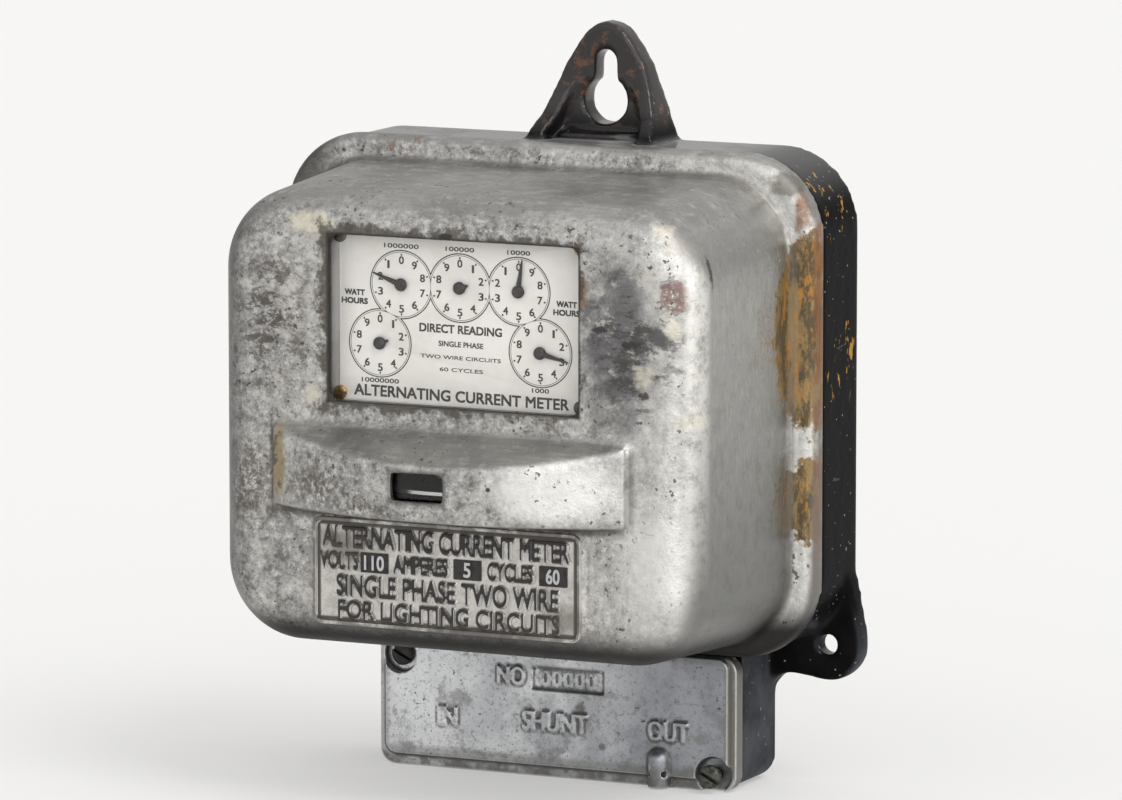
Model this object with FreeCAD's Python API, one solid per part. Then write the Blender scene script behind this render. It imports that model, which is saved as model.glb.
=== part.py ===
"""Wall-hung induction watt-hour meter with a five-dial register, one STEP file per piece.

Frame, in millimetres: X to the right, the front faces -Y, +Z is up. The origin lies on the flat
back face (y = 0), at the middle of the case's width and height.
"""
import FreeCAD, Part
import math
import os

os.makedirs("parts", exist_ok=True)

# ---- driving dimensions ------------------------------------------------------------------
case_width = 174.8           # outer width of the cover's flange
case_height = 151.2          # outer height of the cover's flange
case_corner = 25.0           # corner radius of the flange, seen from the front
gasket_thick = 0.8
flange_back = -28.0          # back face of the cover's flange
flange_front = -36.5         # front lip of the cover's brim
front_face = -101.0          # flat front of the cover
cover_wall = 2.8
body_half_width_back = 80.8  # main body of the cover where it leaves the brim
body_half_width_front = 77.2
body_top_back = 68.8
body_top_front = 65.2
body_bottom_back = -72.2
body_bottom_front = -69.0
body_corner = 24.0
front_edge_radius = 12.0

base_inset = 0.9             # the base stands back this far from the flange's outline
base_wall = 4.0

case_post_spots = [(sx * 72.0, sz * 52.0) for sx in (-1, 1) for sz in (-1, 1)]
case_post_radius = 5.5
case_screw_radius = 2.3
case_screw_clearance = 2.6
case_screw_head_radius = 4.2
case_screw_recess_radius = 4.6
case_screw_recess = -3.2
case_screw_end = -40.0
lead_notch_half = 24.0       # open notch that lets the leads down into the terminal chamber
lead_notch_back = -12.0

hanger_x = 7.0               # the hanging lug stands a little right of centre
hanger_top = 110.0
hanger_thick = 8.7
hanger_rib_reach = 20.0
keyhole_z = 86.2
keyhole_radius = 7.0
keyhole_slot_width = 6.8
keyhole_slot_top = 101.6

ear_x = 79.8
ear_z = -74.6
ear_radius = 11.0
ear_thick = 7.7
ear_hole_radius = 3.2

chamber_x = 1.0
chamber_width = 118.4
chamber_bottom = -117.5
chamber_front = -25.0
chamber_corner = 7.0
wire_entry_radius = 4.0
wire_entry_y = -14.0
terminal_xs = (-36.0, 1.0, 38.0)

terminal_cover_front = -30.0
terminal_panel_front = -31.2
terminal_cover_top = -76.4
cover_screw_spots = ((53.0, -112.5), (-51.0, -83.5))
cover_screw_seat = -27.6
cover_screw_backed_out = 4.3     # the lower right screw stands proud by this much
cover_screw_hole_radius = 1.6
cover_screw_length = 15.0
cover_boss_radius = 5.2
cover_pocket_radius = 5.6
lid_rim_side = 2.3               # flat rim round the lid's raised panel
lid_rim_bottom = 3.6
lid_hollow = 2.4                 # depth of the hollow behind the lid

window_x = 0.6
window_z = 29.1
window_width = 80.6
window_height = 49.0
window_corner = 3.0

inner_face = front_face + cover_wall
glass_thick = 1.4
glass_overlap = 3.0          # the large glass reaches this far past the opening all round
frame_thick = 0.9
frame_side = 6.0             # the pressed frame reaches this far past the opening at its sides
frame_end = 4.5              # and this far above and below it
frame_screw_spots = [(window_x + sx * (window_width / 2 + 4.6), window_z + sz * 16.0)
                     for sx in (-1, 1) for sz in (-1, 1)]

bulge_half_width = 57.0
bulge_wall = 2.4
bulge_end_proud = 3.0
bulge_proud = 17.0
bulge_top = -2.2
bulge_bottom = -27.5
bulge_top_drop = 8.7
disc_window_x = -3.3
disc_window_z = -17.0
disc_window_width = 16.5
disc_window_height = 8.0

plate_x = -0.8               # raised nameplate pad
plate_width = 87.4
plate_top = -29.6
plate_bottom = -62.0
plate_proud = 1.2

dial_face = -94.5
dial_plate_thick = 0.6
register_plate_thick = 1.5
register_gap = 12.9
register_half_width = 46.0
register_bottom = -3.0
register_top = 58.0

centre_distance = 19.0       # between neighbouring register arbors
wheel_teeth = 100
pinion_teeth = 10
register_module = 2.0 * centre_distance / (wheel_teeth + pinion_teeth)
upper_dial_z = 39.2
lower_dial_x = 26.0
wheel_thick = 1.0
pinion_thick = 2.0
gear_planes = (-90.2, -86.6, -83.0)
wheel_widths = (0.50, 0.20)  # a tooth's width at its root and at its tip
pinion_widths = (0.36, 0.20)
tooth_heights = (0.30, 0.42) # outside and inside the pitch circle
arbor_radius = 1.2
pivot_radius = 0.8
running_clearance = 0.05

rotor_y = -67.0
disc_radius = 46.0
disc_z = -19.0
disc_thick = 1.0
disc_slot_count = 18
disc_slot_width = 1.3
disc_slot_radius = 30.0      # radius of the arc that each slot follows
disc_slot_angle = 46.0
disc_slot_shift = (3.0, 11.0)
hub_radius = 6.5
spindle_radius = 1.5
spindle_pin_radius = 0.6
spindle_bottom = -54.0
spindle_top = 27.0
worm_module = 0.3
worm_pitch_radius = 3.0

magnet_x = (-71.0, -32.0)    # the left drag magnet's reach; the right one mirrors it
magnet_half_height = 19.0
magnet_half_depth = 6.0
magnet_foot_x = -52.0
lead_radius = 1.6
lead_bend = 2.6

# ---- small shape helpers -----------------------------------------------------------------


def vec(x, y, z):
    return FreeCAD.Vector(x, y, z)


def box(x_range, y_range, z_range):
    """Block between low and high values along each axis."""
    size = (x_range[1] - x_range[0], y_range[1] - y_range[0], z_range[1] - z_range[0])
    return Part.makeBox(size[0], size[1], size[2], vec(x_range[0], y_range[0], z_range[0]))


def rod_y(x, z, radius, back, front):
    """Cylinder along Y from its back end to its front end."""
    return Part.makeCylinder(radius, back - front, vec(x, back, z), vec(0, -1, 0))


def rod_z(x, y, radius, bottom, top):
    return Part.makeCylinder(radius, top - bottom, vec(x, y, bottom))


def rod_x(y, z, radius, left, right):
    return Part.makeCylinder(radius, right - left, vec(left, y, z), vec(1, 0, 0))


def fuse_all(shapes):
    whole = shapes[0].multiFuse(shapes[1:]) if len(shapes) > 1 else shapes[0]
    return whole.removeSplitter()


def rounded_outline(left, right, bottom, top, radius, y):
    """Closed outline of a rounded rectangle in the plane at y."""
    edges = []
    corners = ((right - radius, top - radius, 0), (left + radius, top - radius, 90),
               (left + radius, bottom + radius, 180), (right - radius, bottom + radius, 270))
    ends = []
    for cx, cz, start in corners:
        points = []
        for angle in (start, start + 45, start + 90):
            turn = math.radians(angle)
            points.append(vec(cx + radius * math.cos(turn), y, cz + radius * math.sin(turn)))
        ends.append(points)
    for index, points in enumerate(ends):
        edges.append(Part.Arc(points[0], points[1], points[2]).toShape())
        following = ends[(index + 1) % 4]
        edges.append(Part.LineSegment(points[2], following[0]).toShape())
    return Part.Wire(edges)


def rounded_block(left, right, bottom, top, radius, back, front):
    outline = rounded_outline(left, right, bottom, top, radius, back)
    return Part.Face(outline).extrude(vec(0, front - back, 0))


def polygon_block(points, direction):
    """Flat polygon through the points, extruded along the direction."""
    wire = Part.makePolygon(list(points) + [points[0]])
    return Part.Face(wire).extrude(direction)


def slotted_screw(x, z, head_radius, head_back, head_front, shank_radius, shank_end, slot_angle=0):
    """Screw along Y whose head faces the front, with a screwdriver slot across it."""
    head = rod_y(x, z, head_radius, head_back, head_front)
    shank = rod_y(x, z, shank_radius, shank_end, head_back)
    slot_depth = 0.4 * (head_back - head_front)
    slot = box((x - head_radius - 1, x + head_radius + 1), (head_front - 1, head_front + slot_depth),
               (z - 0.12 * head_radius, z + 0.12 * head_radius))
    slot.rotate(vec(x, 0, z), vec(0, 1, 0), slot_angle)
    return head.fuse(shank).removeSplitter().cut(slot)


# ---- case: base casting, gasket, cover ----------------------------------------------------


def hanger():
    """Arched lug with a keyhole and a rib down each side to the top of the base."""
    arch_factor = 3.55
    foot_z = 70.0
    heights = [hanger_top - drop for drop in (1.5, 6.0, 14.0, 24.0)]
    right = [vec(hanger_x + arch_factor * math.sqrt(hanger_top - z), 0, z) for z in heights]
    left = [vec(2 * hanger_x - point.x, 0, point.z) for point in right]
    arch = Part.BSplineCurve()
    arch.interpolate(left[::-1] + [vec(hanger_x, 0, hanger_top)] + right)
    flare = 5.0
    low_left = vec(left[-1].x - flare, 0, foot_z)
    low_right = vec(right[-1].x + flare, 0, foot_z)
    sides = [Part.LineSegment(right[-1], low_right), Part.LineSegment(low_right, low_left),
             Part.LineSegment(low_left, left[-1])]
    outline = Part.Wire([arch.toShape()] + [side.toShape() for side in sides])
    lug = Part.Face(outline).extrude(vec(0, -hanger_thick, 0))
    ribs = []
    rib_thick = 5.4
    rib_offset = 15.0
    rib_lean = 20.0
    for side in (-1, 1):
        foot = (vec(0, 0, foot_z), vec(0, -hanger_rib_reach, foot_z),
                vec(0, -hanger_rib_reach, 76.5), vec(0, -14.0, 82.0), vec(0, -10.6, 90.0),
                vec(0, -hanger_thick + 0.1, 98.0), vec(0, 0, 98.0))
        rib = polygon_block(foot, vec(rib_thick, 0, 0))
        rib.translate(vec(hanger_x + side * rib_offset - rib_thick / 2, 0, 0))
        rib.rotate(vec(hanger_x + side * rib_offset, 0, 84.0), vec(0, 1, 0), -side * rib_lean)
        ribs.append(rib)
    web_front = -15.0
    web = polygon_block((vec(0, 0, foot_z), vec(0, web_front, foot_z), vec(0, web_front, 75.4),
                         vec(0, -11.0, 76.8), vec(0, -hanger_thick, 79.6), vec(0, 0, 79.6)),
                        vec(32.0, 0, 0))
    web.translate(vec(hanger_x - 16.0, 0, 0))
    slot_end = keyhole_slot_top - keyhole_slot_width / 2
    keyhole = fuse_all([
        rod_y(hanger_x, keyhole_z, keyhole_radius, 2, -40),
        rod_y(hanger_x, slot_end, keyhole_slot_width / 2, 2, -40),
        box((hanger_x - keyhole_slot_width / 2, hanger_x + keyhole_slot_width / 2), (-40, 2),
            (keyhole_z, slot_end))])
    return fuse_all([lug, web] + ribs).cut(keyhole)


def ear(side):
    """Lower fixing ear; side is 1 for the right ear and -1 for the left."""
    wall_x = chamber_x + side * chamber_width / 2 - side * 2.0
    centre = vec(side * ear_x, 0, ear_z)
    outer = vec(side * (ear_x + ear_radius), 0, ear_z + 2.0)
    turn = math.radians(-45)
    middle = vec(centre.x + side * ear_radius * math.cos(turn), 0, ear_z + ear_radius * math.sin(turn))
    lowest = vec(centre.x, 0, ear_z - ear_radius)
    inner = vec(side * 68.5, 0, ear_z - ear_radius + 1.6)
    bend = vec(side * 63.0, 0, ear_z - ear_radius - 0.4)
    corner = vec(side * 60.4, 0, ear_z - ear_radius - 5.5)
    inside_low = vec(wall_x, 0, corner.z)
    inside_high = vec(wall_x, 0, -60.0)
    top = vec(side * 84.0, 0, -42.0)
    shoulder = vec(side * 87.4, 0, -56.0)
    edges = [Part.LineSegment(top, shoulder), Part.LineSegment(shoulder, outer),
             Part.Arc(outer, middle, lowest), Part.LineSegment(lowest, inner),
             Part.Arc(inner, bend, corner), Part.LineSegment(corner, inside_low),
             Part.LineSegment(inside_low, inside_high), Part.LineSegment(inside_high, top)]
    plate = Part.Face(Part.Wire([edge.toShape() for edge in edges]))
    plate = plate.extrude(vec(0, -ear_thick, 0))
    return plate.cut(rod_y(side * ear_x, ear_z, ear_hole_radius, 2, -20))


def make_base():
    """One casting: open tray, terminal chamber, hanging lug and two lower ears."""
    half_w = case_width / 2 - base_inset
    half_h = case_height / 2 - base_inset
    front = flange_back + gasket_thick
    radius = case_corner - base_inset
    left = chamber_x - chamber_width / 2
    right = chamber_x + chamber_width / 2
    tray = rounded_block(-half_w, half_w, -half_h, half_h, radius, 0, front)
    chamber = rounded_block(left, right, chamber_bottom, -60.0, chamber_corner, 0, chamber_front)
    shell = fuse_all([tray, chamber, hanger(), ear(1), ear(-1)])
    wall = base_wall
    tray_space = rounded_block(-half_w + wall, half_w - wall, -half_h + wall, half_h - wall,
                               radius - wall, -wall, -60)
    chamber_space = rounded_block(left + wall, right - wall, chamber_bottom + wall,
                                  -half_h - wall + 0.8, chamber_corner - wall, -wall, -60)
    chamber_notch = box((left, right), (-60, chamber_front), (chamber_bottom - 1, -half_h))
    shell = shell.cut(tray_space).cut(chamber_space).cut(chamber_notch)
    posts = [rod_y(x, z, case_post_radius, -wall + 0.5, front) for x, z in case_post_spots]
    bosses = [rod_y(x, z, cover_boss_radius, -wall + 0.5, chamber_front)
              for x, z in cover_screw_spots]
    shell = fuse_all([shell] + posts + bosses)
    for x, z in case_post_spots:
        shell = shell.cut(rod_y(x, z, case_screw_clearance, 1, -40))
        shell = shell.cut(rod_y(x, z, case_screw_recess_radius, 1, case_screw_recess))
    for x, z in cover_screw_spots:
        shell = shell.cut(rod_y(x, z, cover_screw_hole_radius, -8.0, -40))
    for x in terminal_xs:
        shell = shell.cut(rod_z(x, wire_entry_y, wire_entry_radius, chamber_bottom - 5, -112.0))
    lead_notch = box((-lead_notch_half, lead_notch_half), (-60, lead_notch_back), (-82.0, -66.0))
    return shell.cut(lead_notch)


def make_cover_gasket():
    half_w = case_width / 2 - 1.2
    half_h = case_height / 2 - 1.2
    back = flange_back + gasket_thick
    outer = rounded_block(-half_w, half_w, -half_h, half_h, case_corner - 1.2, back, flange_back)
    inner = rounded_block(-half_w + 3.2, half_w - 3.2, -half_h + 3.2, half_h - 3.2,
                          case_corner - 4.4, back + 1, flange_back - 1)
    return outer.cut(inner)


def make_cover_screws():
    """Four long screws that enter from the back, so that they can't be reached on the wall."""
    screws = []
    for x, z in case_post_spots:
        head = rod_y(x, z, case_screw_head_radius, -0.3, case_screw_recess)
        slot = box((x - 5, x + 5), (-1.5, 1), (z - 0.6, z + 0.6))
        shank = rod_y(x, z, case_screw_radius, case_screw_recess, case_screw_end)
        screws.append(head.fuse(shank).removeSplitter().cut(slot))
    return Part.makeCompound(screws)


def cover_section(y, inset):
    """Outline of the cover's main body at depth y, drawn in by the inset."""
    share = (y - flange_back) / (front_face - flange_back)
    half = body_half_width_back + share * (body_half_width_front - body_half_width_back) - inset
    top = body_top_back + share * (body_top_front - body_top_back) - inset
    bottom = body_bottom_back + share * (body_bottom_front - body_bottom_back) + inset
    return rounded_outline(-half, half, bottom, top, body_corner - inset, y)


def cover_body(back, front, inset, edge_radius):
    """Tapered block with its front edge rounded over in eight steps."""
    outlines = [cover_section(back, inset), cover_section(front + edge_radius, inset)]
    steps = 8
    for step in range(1, steps + 1):
        turn = math.radians(90.0 * step / steps)
        drawn_in = edge_radius * (1 - math.cos(turn))
        outlines.append(cover_section(front + edge_radius * (1 - math.sin(turn)), inset + drawn_in))
    return Part.makeLoft(outlines, True, True)


def bulge_block(shrink, back):
    """Housing of the disc's front edge: bowed in plan, with a ledge that slopes down forwards."""
    half = bulge_half_width - shrink
    end_y = front_face - bulge_end_proud + shrink
    crown_y = front_face - bulge_proud + shrink
    bow = Part.Arc(vec(-half, end_y, 0), vec(0, crown_y, 0), vec(half, end_y, 0))
    edges = [bow.toShape(),
             Part.LineSegment(vec(half, end_y, 0), vec(half, back, 0)).toShape(),
             Part.LineSegment(vec(half, back, 0), vec(-half, back, 0)).toShape(),
             Part.LineSegment(vec(-half, back, 0), vec(-half, end_y, 0)).toShape()]
    low = bulge_bottom + shrink
    block = Part.Face(Part.Wire(edges))
    block.translate(vec(0, 0, low))
    block = block.extrude(vec(0, 0, bulge_top - shrink - low))
    slope = bulge_top_drop / bulge_proud
    start = front_face
    reach = 30.0
    high = bulge_top - shrink
    wedge = polygon_block((vec(-80, start, high), vec(-80, start - reach, high - reach * slope),
                           vec(-80, start - reach, high + 5), vec(-80, start, high + 5)),
                          vec(160, 0, 0))
    return block.cut(wedge)


def make_front_cover():
    half_w = case_width / 2
    half_h = case_height / 2
    brim_round = 4.0
    flange = rounded_block(-half_w, half_w, -half_h, half_h, case_corner, flange_back,
                           flange_front + brim_round)
    brim = [rounded_outline(-half_w, half_w, -half_h, half_h, case_corner, flange_front + brim_round)]
    for step in range(1, 5):
        turn = math.radians(22.5 * step)
        drawn_in = brim_round * (1 - math.cos(turn))
        brim.append(rounded_outline(-half_w + drawn_in, half_w - drawn_in, -half_h + drawn_in,
                                    half_h - drawn_in, case_corner - drawn_in,
                                    flange_front + brim_round * (1 - math.sin(turn))))
    rolled = Part.makeLoft(brim, True, True)
    body = cover_body(flange_back, front_face, 0.0, front_edge_radius)
    pad = rounded_block(plate_x - plate_width / 2, plate_x + plate_width / 2, plate_bottom, plate_top,
                        3.0, front_face + 3, front_face - plate_proud)
    shell = fuse_all([flange, rolled, body, bulge_block(0.0, front_face + 4), pad])
    space = cover_body(flange_back + 1, front_face + cover_wall, cover_wall,
                       front_edge_radius - cover_wall)
    shell = shell.cut(space)
    shell = shell.cut(bulge_block(bulge_wall, front_face + 10))
    shell = shell.cut(window_seat())
    shell = shell.cut(rounded_block(window_x - window_width / 2, window_x + window_width / 2,
                                    window_z - window_height / 2, window_z + window_height / 2,
                                    window_corner, -90, -120))
    shell = shell.cut(rounded_block(disc_window_x - disc_window_width / 2,
                                    disc_window_x + disc_window_width / 2,
                                    disc_window_z - disc_window_height / 2,
                                    disc_window_z + disc_window_height / 2, 1.2, -105, -125))
    boss_front = -44.0
    web_length = 6.5
    bosses = [rod_y(x, z, case_post_radius - 0.1, flange_back, boss_front) for x, z in case_post_spots]
    webs = []
    for x, z in case_post_spots:
        far = x + math.copysign(web_length, x)
        webs.append(box((min(x, far), max(x, far)), (boss_front, flange_back), (z - 2.0, z + 2.0)))
    shell = fuse_all([shell] + bosses + webs)
    for x, z in case_post_spots:
        shell = shell.cut(rod_y(x, z, case_screw_radius + 0.2, flange_back + 1, case_screw_end - 1.5))
    return shell


def window_seat():
    """Flat seat for the large glass and its frame, cut a little into the rounded inner edge."""
    gap = 0.3
    side = window_width / 2 + frame_side + gap
    end = window_height / 2 + frame_end + gap
    return rounded_block(window_x - side, window_x + side, window_z - end, window_z + end, 3.0,
                         inner_face + 8, inner_face)


def make_register_window_glass():
    side = window_width / 2 + glass_overlap
    end = window_height / 2 + glass_overlap
    return rounded_block(window_x - side, window_x + side, window_z - end, window_z + end, 2.0,
                         inner_face + glass_thick, inner_face)


def make_window_frame():
    """Pressed frame that holds the large glass, with four fixing tabs."""
    back = inner_face + glass_thick + frame_thick
    front = inner_face + glass_thick
    left = window_x - window_width / 2
    right = window_x + window_width / 2
    low = window_z - window_height / 2
    high = window_z + window_height / 2
    sight = 1.4
    around = glass_overlap + 0.15
    plate = rounded_block(left - frame_side, right + frame_side, low - frame_end, high + frame_end,
                          3.0, back, front)
    opening = rounded_block(left - sight, right + sight, low - sight, high + sight, 2.0, back + 1,
                            front - 1)
    rim = rounded_block(left - frame_side, right + frame_side, low - frame_end, high + frame_end,
                        3.0, front, inner_face)
    seat = rounded_block(left - around, right + around, low - around, high + around, 2.0, front + 1,
                         inner_face - 1)
    frame = fuse_all([plate.cut(opening), rim.cut(seat)])
    for x, z in frame_screw_spots:
        frame = frame.cut(rod_y(x, z, 0.75, back + 1, inner_face - 1))
    return frame


def make_window_frame_screws():
    back = inner_face + glass_thick + frame_thick
    screws = []
    for x, z in frame_screw_spots:
        head = rod_y(x, z, 1.35, back + 0.8, back)
        screws.append(head.fuse(rod_y(x, z, 0.7, back, inner_face)).removeSplitter())
    return Part.makeCompound(screws)


def make_disc_window_glass():
    front = front_face - bulge_proud + bulge_wall + 0.85
    return rounded_block(disc_window_x - 9.5, disc_window_x + 9.5, disc_window_z - 5.4,
                         disc_window_z + 4.6, 1.0, front + 0.9, front)


# ---- rotor --------------------------------------------------------------------------------


def make_rotor_disc():
    """Thin disc with curved slots that stop short of its rim and hub."""
    half = disc_thick / 2
    disc = rod_z(0, rotor_y, disc_radius, disc_z - half, disc_z + half)
    disc = disc.cut(rod_z(0, rotor_y, 4.0, disc_z - 2, disc_z + 2))
    arc_x = 14.0 - disc_slot_radius
    for index in range(disc_slot_count):
        outer = Part.makeCylinder(disc_slot_radius + disc_slot_width / 2, 4, vec(arc_x, 0, -2),
                                  vec(0, 0, 1), disc_slot_angle)
        inner = Part.makeCylinder(disc_slot_radius - disc_slot_width / 2, 6, vec(arc_x, 0, -3),
                                  vec(0, 0, 1), 360)
        slot = outer.cut(inner)
        slot.translate(vec(disc_slot_shift[0], disc_slot_shift[1], 0))
        slot.rotate(vec(0, 0, 0), vec(0, 0, 1), 360.0 * index / disc_slot_count)
        slot.translate(vec(0, rotor_y, disc_z))
        disc = disc.cut(slot)
    return disc


def make_disc_hub():
    hub = fuse_all([rod_z(0, rotor_y, 4.0, disc_z - 3.0, disc_z + 3.0),
                    rod_z(0, rotor_y, hub_radius, disc_z - 2.5, disc_z - disc_thick / 2),
                    rod_z(0, rotor_y, hub_radius, disc_z + disc_thick / 2, disc_z + 2.5)])
    return hub.cut(rod_z(0, rotor_y, spindle_radius, disc_z - 10, disc_z + 10))


def make_rotor_spindle():
    """Steel spindle with a cone at its foot and a thin pin at its head."""
    cone = Part.makeCone(0.15, spindle_radius, 2.5, vec(0, rotor_y, spindle_bottom))
    shaft = rod_z(0, rotor_y, spindle_radius, spindle_bottom + 2.5, spindle_top - 5.0)
    pin = rod_z(0, rotor_y, spindle_pin_radius, spindle_top - 5.0, spindle_top)
    return fuse_all([cone, shaft, pin])


worm_wheel_x = worm_pitch_radius + worm_module * wheel_teeth / 2
worm_wheel_z = upper_dial_z - math.sqrt(centre_distance ** 2 - (lower_dial_x - 19.0) ** 2) - math.sqrt(
    centre_distance ** 2 - (lower_dial_x - worm_wheel_x) ** 2)
lower_dial_z = upper_dial_z - math.sqrt(centre_distance ** 2 - (lower_dial_x - 19.0) ** 2)


def make_worm():
    """Single-start worm on a sleeve, right-handed, nine turns."""
    pitch = math.pi * worm_module
    turns = 9
    height = turns * pitch
    core = worm_pitch_radius - 0.34
    bottom = worm_wheel_z - height / 2
    sleeve = rod_z(0, rotor_y, core, bottom - 1.5, bottom + height + 1.5)
    helix = Part.makeHelix(pitch, height, core)
    root = 0.22
    tip = 0.09
    reach = 0.6
    profile = Part.makePolygon([vec(core - 0.12, 0, -root), vec(core + reach, 0, -tip),
                                vec(core + reach, 0, tip), vec(core - 0.12, 0, root),
                                vec(core - 0.12, 0, -root)])
    thread = Part.Wire(helix).makePipeShell([profile], True, True)
    thread.translate(vec(0, rotor_y, bottom))
    worm = sleeve.fuse(thread)
    return worm.cut(rod_z(0, rotor_y, spindle_radius, bottom - 3, bottom + height + 3))


# ---- register -----------------------------------------------------------------------------


def gear(x, z, teeth, module, plane, thick, tooth_direction, widths, heights):
    """Spur gear in the XZ plane with one tooth pointing along tooth_direction (degrees)."""
    pitch_radius = module * teeth / 2
    root_width, tip_width = widths
    addendum, dedendum = heights
    points = []
    for tooth in range(teeth):
        middle = math.radians(tooth_direction) + 2 * math.pi * tooth / teeth
        for radius, offset in ((pitch_radius - dedendum, -root_width / 2),
                               (pitch_radius + addendum, -tip_width / 2),
                               (pitch_radius + addendum, tip_width / 2),
                               (pitch_radius - dedendum, root_width / 2)):
            angle = middle + offset / radius
            points.append(vec(x + radius * math.cos(angle), plane + thick / 2,
                              z + radius * math.sin(angle)))
    return polygon_block(points, vec(0, -thick, 0))


def spoked(wheel, x, z, plane, bore, hole_ring, hole_radius):
    for index in range(5):
        turn = math.radians(72 * index + 18)
        wheel = wheel.cut(rod_y(x + hole_ring * math.cos(turn), z + hole_ring * math.sin(turn),
                                hole_radius, plane + 3, plane - 3))
    return wheel.cut(rod_y(x, z, bore, plane + 3, plane - 3))


def direction(from_spot, to_spot):
    return math.degrees(math.atan2(to_spot[1] - from_spot[1], to_spot[0] - from_spot[0]))


worm_arbor_spot = (worm_wheel_x, worm_wheel_z)
# name, place, plane of its wheel, plane of its pinion, pointer angle clockwise from 12, length
dials = (
    ("1000", (lower_dial_x, lower_dial_z), 0, 1, 103.5, 9.6),
    ("10000", (19.0, upper_dial_z), 1, 2, 8.6, 9.6),
    ("100000", (0.0, upper_dial_z), 2, 0, 72.0, 3.2),
    ("1000000", (-19.0, upper_dial_z), 0, 1, -70.0, 9.6),
    ("10000000", (-lower_dial_x, lower_dial_z), 1, None, 72.0, 3.2),
)
train_spots = [worm_arbor_spot] + [dial[1] for dial in dials]

register_front = dial_face + dial_plate_thick
register_front_back = register_front + register_plate_thick
register_back_front = register_front_back + register_gap
register_back = register_back_front + register_plate_thick
pillar_spots = [(sx * 42.0, z) for sx in (-1, 1) for z in (1.0, 54.0)]
dial_screw_spots = [(sx * 39.0, z) for sx in (-1, 1) for z in (6.2, 52.9)]


def make_dial_arbor(index):
    """Arbor of one dial, with the pinion that drives the next dial."""
    spot = dials[index][1]
    x, z = spot
    pinion_plane = dials[index][3]
    pieces = [rod_y(x, z, arbor_radius, register_back_front - 0.2, register_front_back + 0.2),
              rod_y(x, z, pivot_radius, register_back - 0.1, register_back_front - 0.3),
              rod_y(x, z, pivot_radius, register_front_back + 0.3, dial_face - 0.2),
              rod_y(x, z, 0.6, dial_face, dial_face - 1.5)]
    if pinion_plane is not None:
        facing = direction(spot, train_spots[index + 2])
        pieces.append(gear(x, z, pinion_teeth, register_module, gear_planes[pinion_plane],
                           pinion_thick, facing, pinion_widths, tooth_heights))
    return fuse_all(pieces)


def make_dial_wheel(index):
    spot = dials[index][1]
    plane = gear_planes[dials[index][2]]
    facing = direction(spot, train_spots[index]) + 180.0 / wheel_teeth
    wheel = gear(spot[0], spot[1], wheel_teeth, register_module, plane, wheel_thick, facing,
                 wheel_widths, tooth_heights)
    return spoked(wheel, spot[0], spot[1], plane, arbor_radius, 9.4, 3.7)


def make_pointer(index):
    """Pointer with a round boss; two of the five are only short stubs."""
    x, z = dials[index][1]
    angle, length = dials[index][4], dials[index][5]
    boss = rod_y(x, z, 1.9, dial_face - 0.3, dial_face - 1.6)
    root, tip = 0.85, 0.22
    blade = polygon_block((vec(x - root, dial_face - 0.6, z), vec(x + root, dial_face - 0.6, z),
                           vec(x + tip, dial_face - 0.6, z + length),
                           vec(x - tip, dial_face - 0.6, z + length)), vec(0, -0.5, 0))
    blade.rotate(vec(x, 0, z), vec(0, 1, 0), angle)
    return boss.fuse(blade).removeSplitter().cut(rod_y(x, z, 0.6, dial_face + 1, dial_face - 5))


def make_worm_wheel():
    x, z = worm_arbor_spot
    facing = 180.0
    wheel = gear(x, z, wheel_teeth, worm_module, rotor_y, 1.6, facing, (0.42, 0.16), (0.24, 0.36))
    return spoked(wheel, x, z, rotor_y, arbor_radius, 8.2, 3.0)


def make_worm_wheel_arbor():
    """Arbor from the worm wheel, through the back plate, to the first register pinion."""
    x, z = worm_arbor_spot
    facing = direction(worm_arbor_spot, train_spots[1])
    pieces = [rod_y(x, z, arbor_radius, rotor_y + 1.5, register_front_back + 0.2),
              rod_y(x, z, pivot_radius, register_front_back + 0.3, register_front + 0.2),
              gear(x, z, pinion_teeth, register_module, gear_planes[0], pinion_thick, facing,
                   pinion_widths, tooth_heights)]
    return fuse_all(pieces)


def register_plate(back, front, worm_hole):
    plate = rounded_block(-register_half_width, register_half_width, register_bottom, register_top,
                          3.0, back, front)
    for x, z in [dial[1] for dial in dials]:
        plate = plate.cut(rod_y(x, z, pivot_radius + running_clearance, back + 1, front - 1))
    x, z = worm_arbor_spot
    return plate.cut(rod_y(x, z, worm_hole + running_clearance, back + 1, front - 1))


def make_register_front_plate():
    plate = register_plate(register_front_back, register_front, pivot_radius)
    for x, z in dial_screw_spots:
        plate = plate.cut(rod_y(x, z, 1.0, register_front_back + 1, register_front - 1))
    return plate


def make_register_back_plate():
    return register_plate(register_back, register_back_front, arbor_radius)


def make_register_pillars():
    return Part.makeCompound([rod_y(x, z, 2.2, register_back_front, register_front_back)
                              for x, z in pillar_spots])


def make_dial_plate():
    plate = rounded_block(-39.3, 39.3, 4.0, 54.7, 2.0, register_front, dial_face)
    for x, z in [dial[1] for dial in dials]:
        plate = plate.cut(rod_y(x, z, 1.1, register_front + 1, dial_face - 1))
    for x, z in dial_screw_spots:
        plate = plate.cut(rod_y(x, z, 1.0, register_front + 1, dial_face - 1))
    return plate


def make_dial_screws():
    return Part.makeCompound([slotted_screw(x, z, 2.1, dial_face, dial_face - 0.9, 1.0,
                                            register_front_back, 25 * index)
                              for index, (x, z) in enumerate(dial_screw_spots)])


# ---- frame, bearings, magnets and coils ---------------------------------------------------

frame_back = -base_wall
frame_face = -8.0
lower_arm_z = -61.0
upper_arm_z = 24.5
arm_thick = 5.0
frame_bolt_spots = [(sx * 26.0, z) for sx in (-1, 1) for z in (-56.0, 30.0)]


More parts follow.
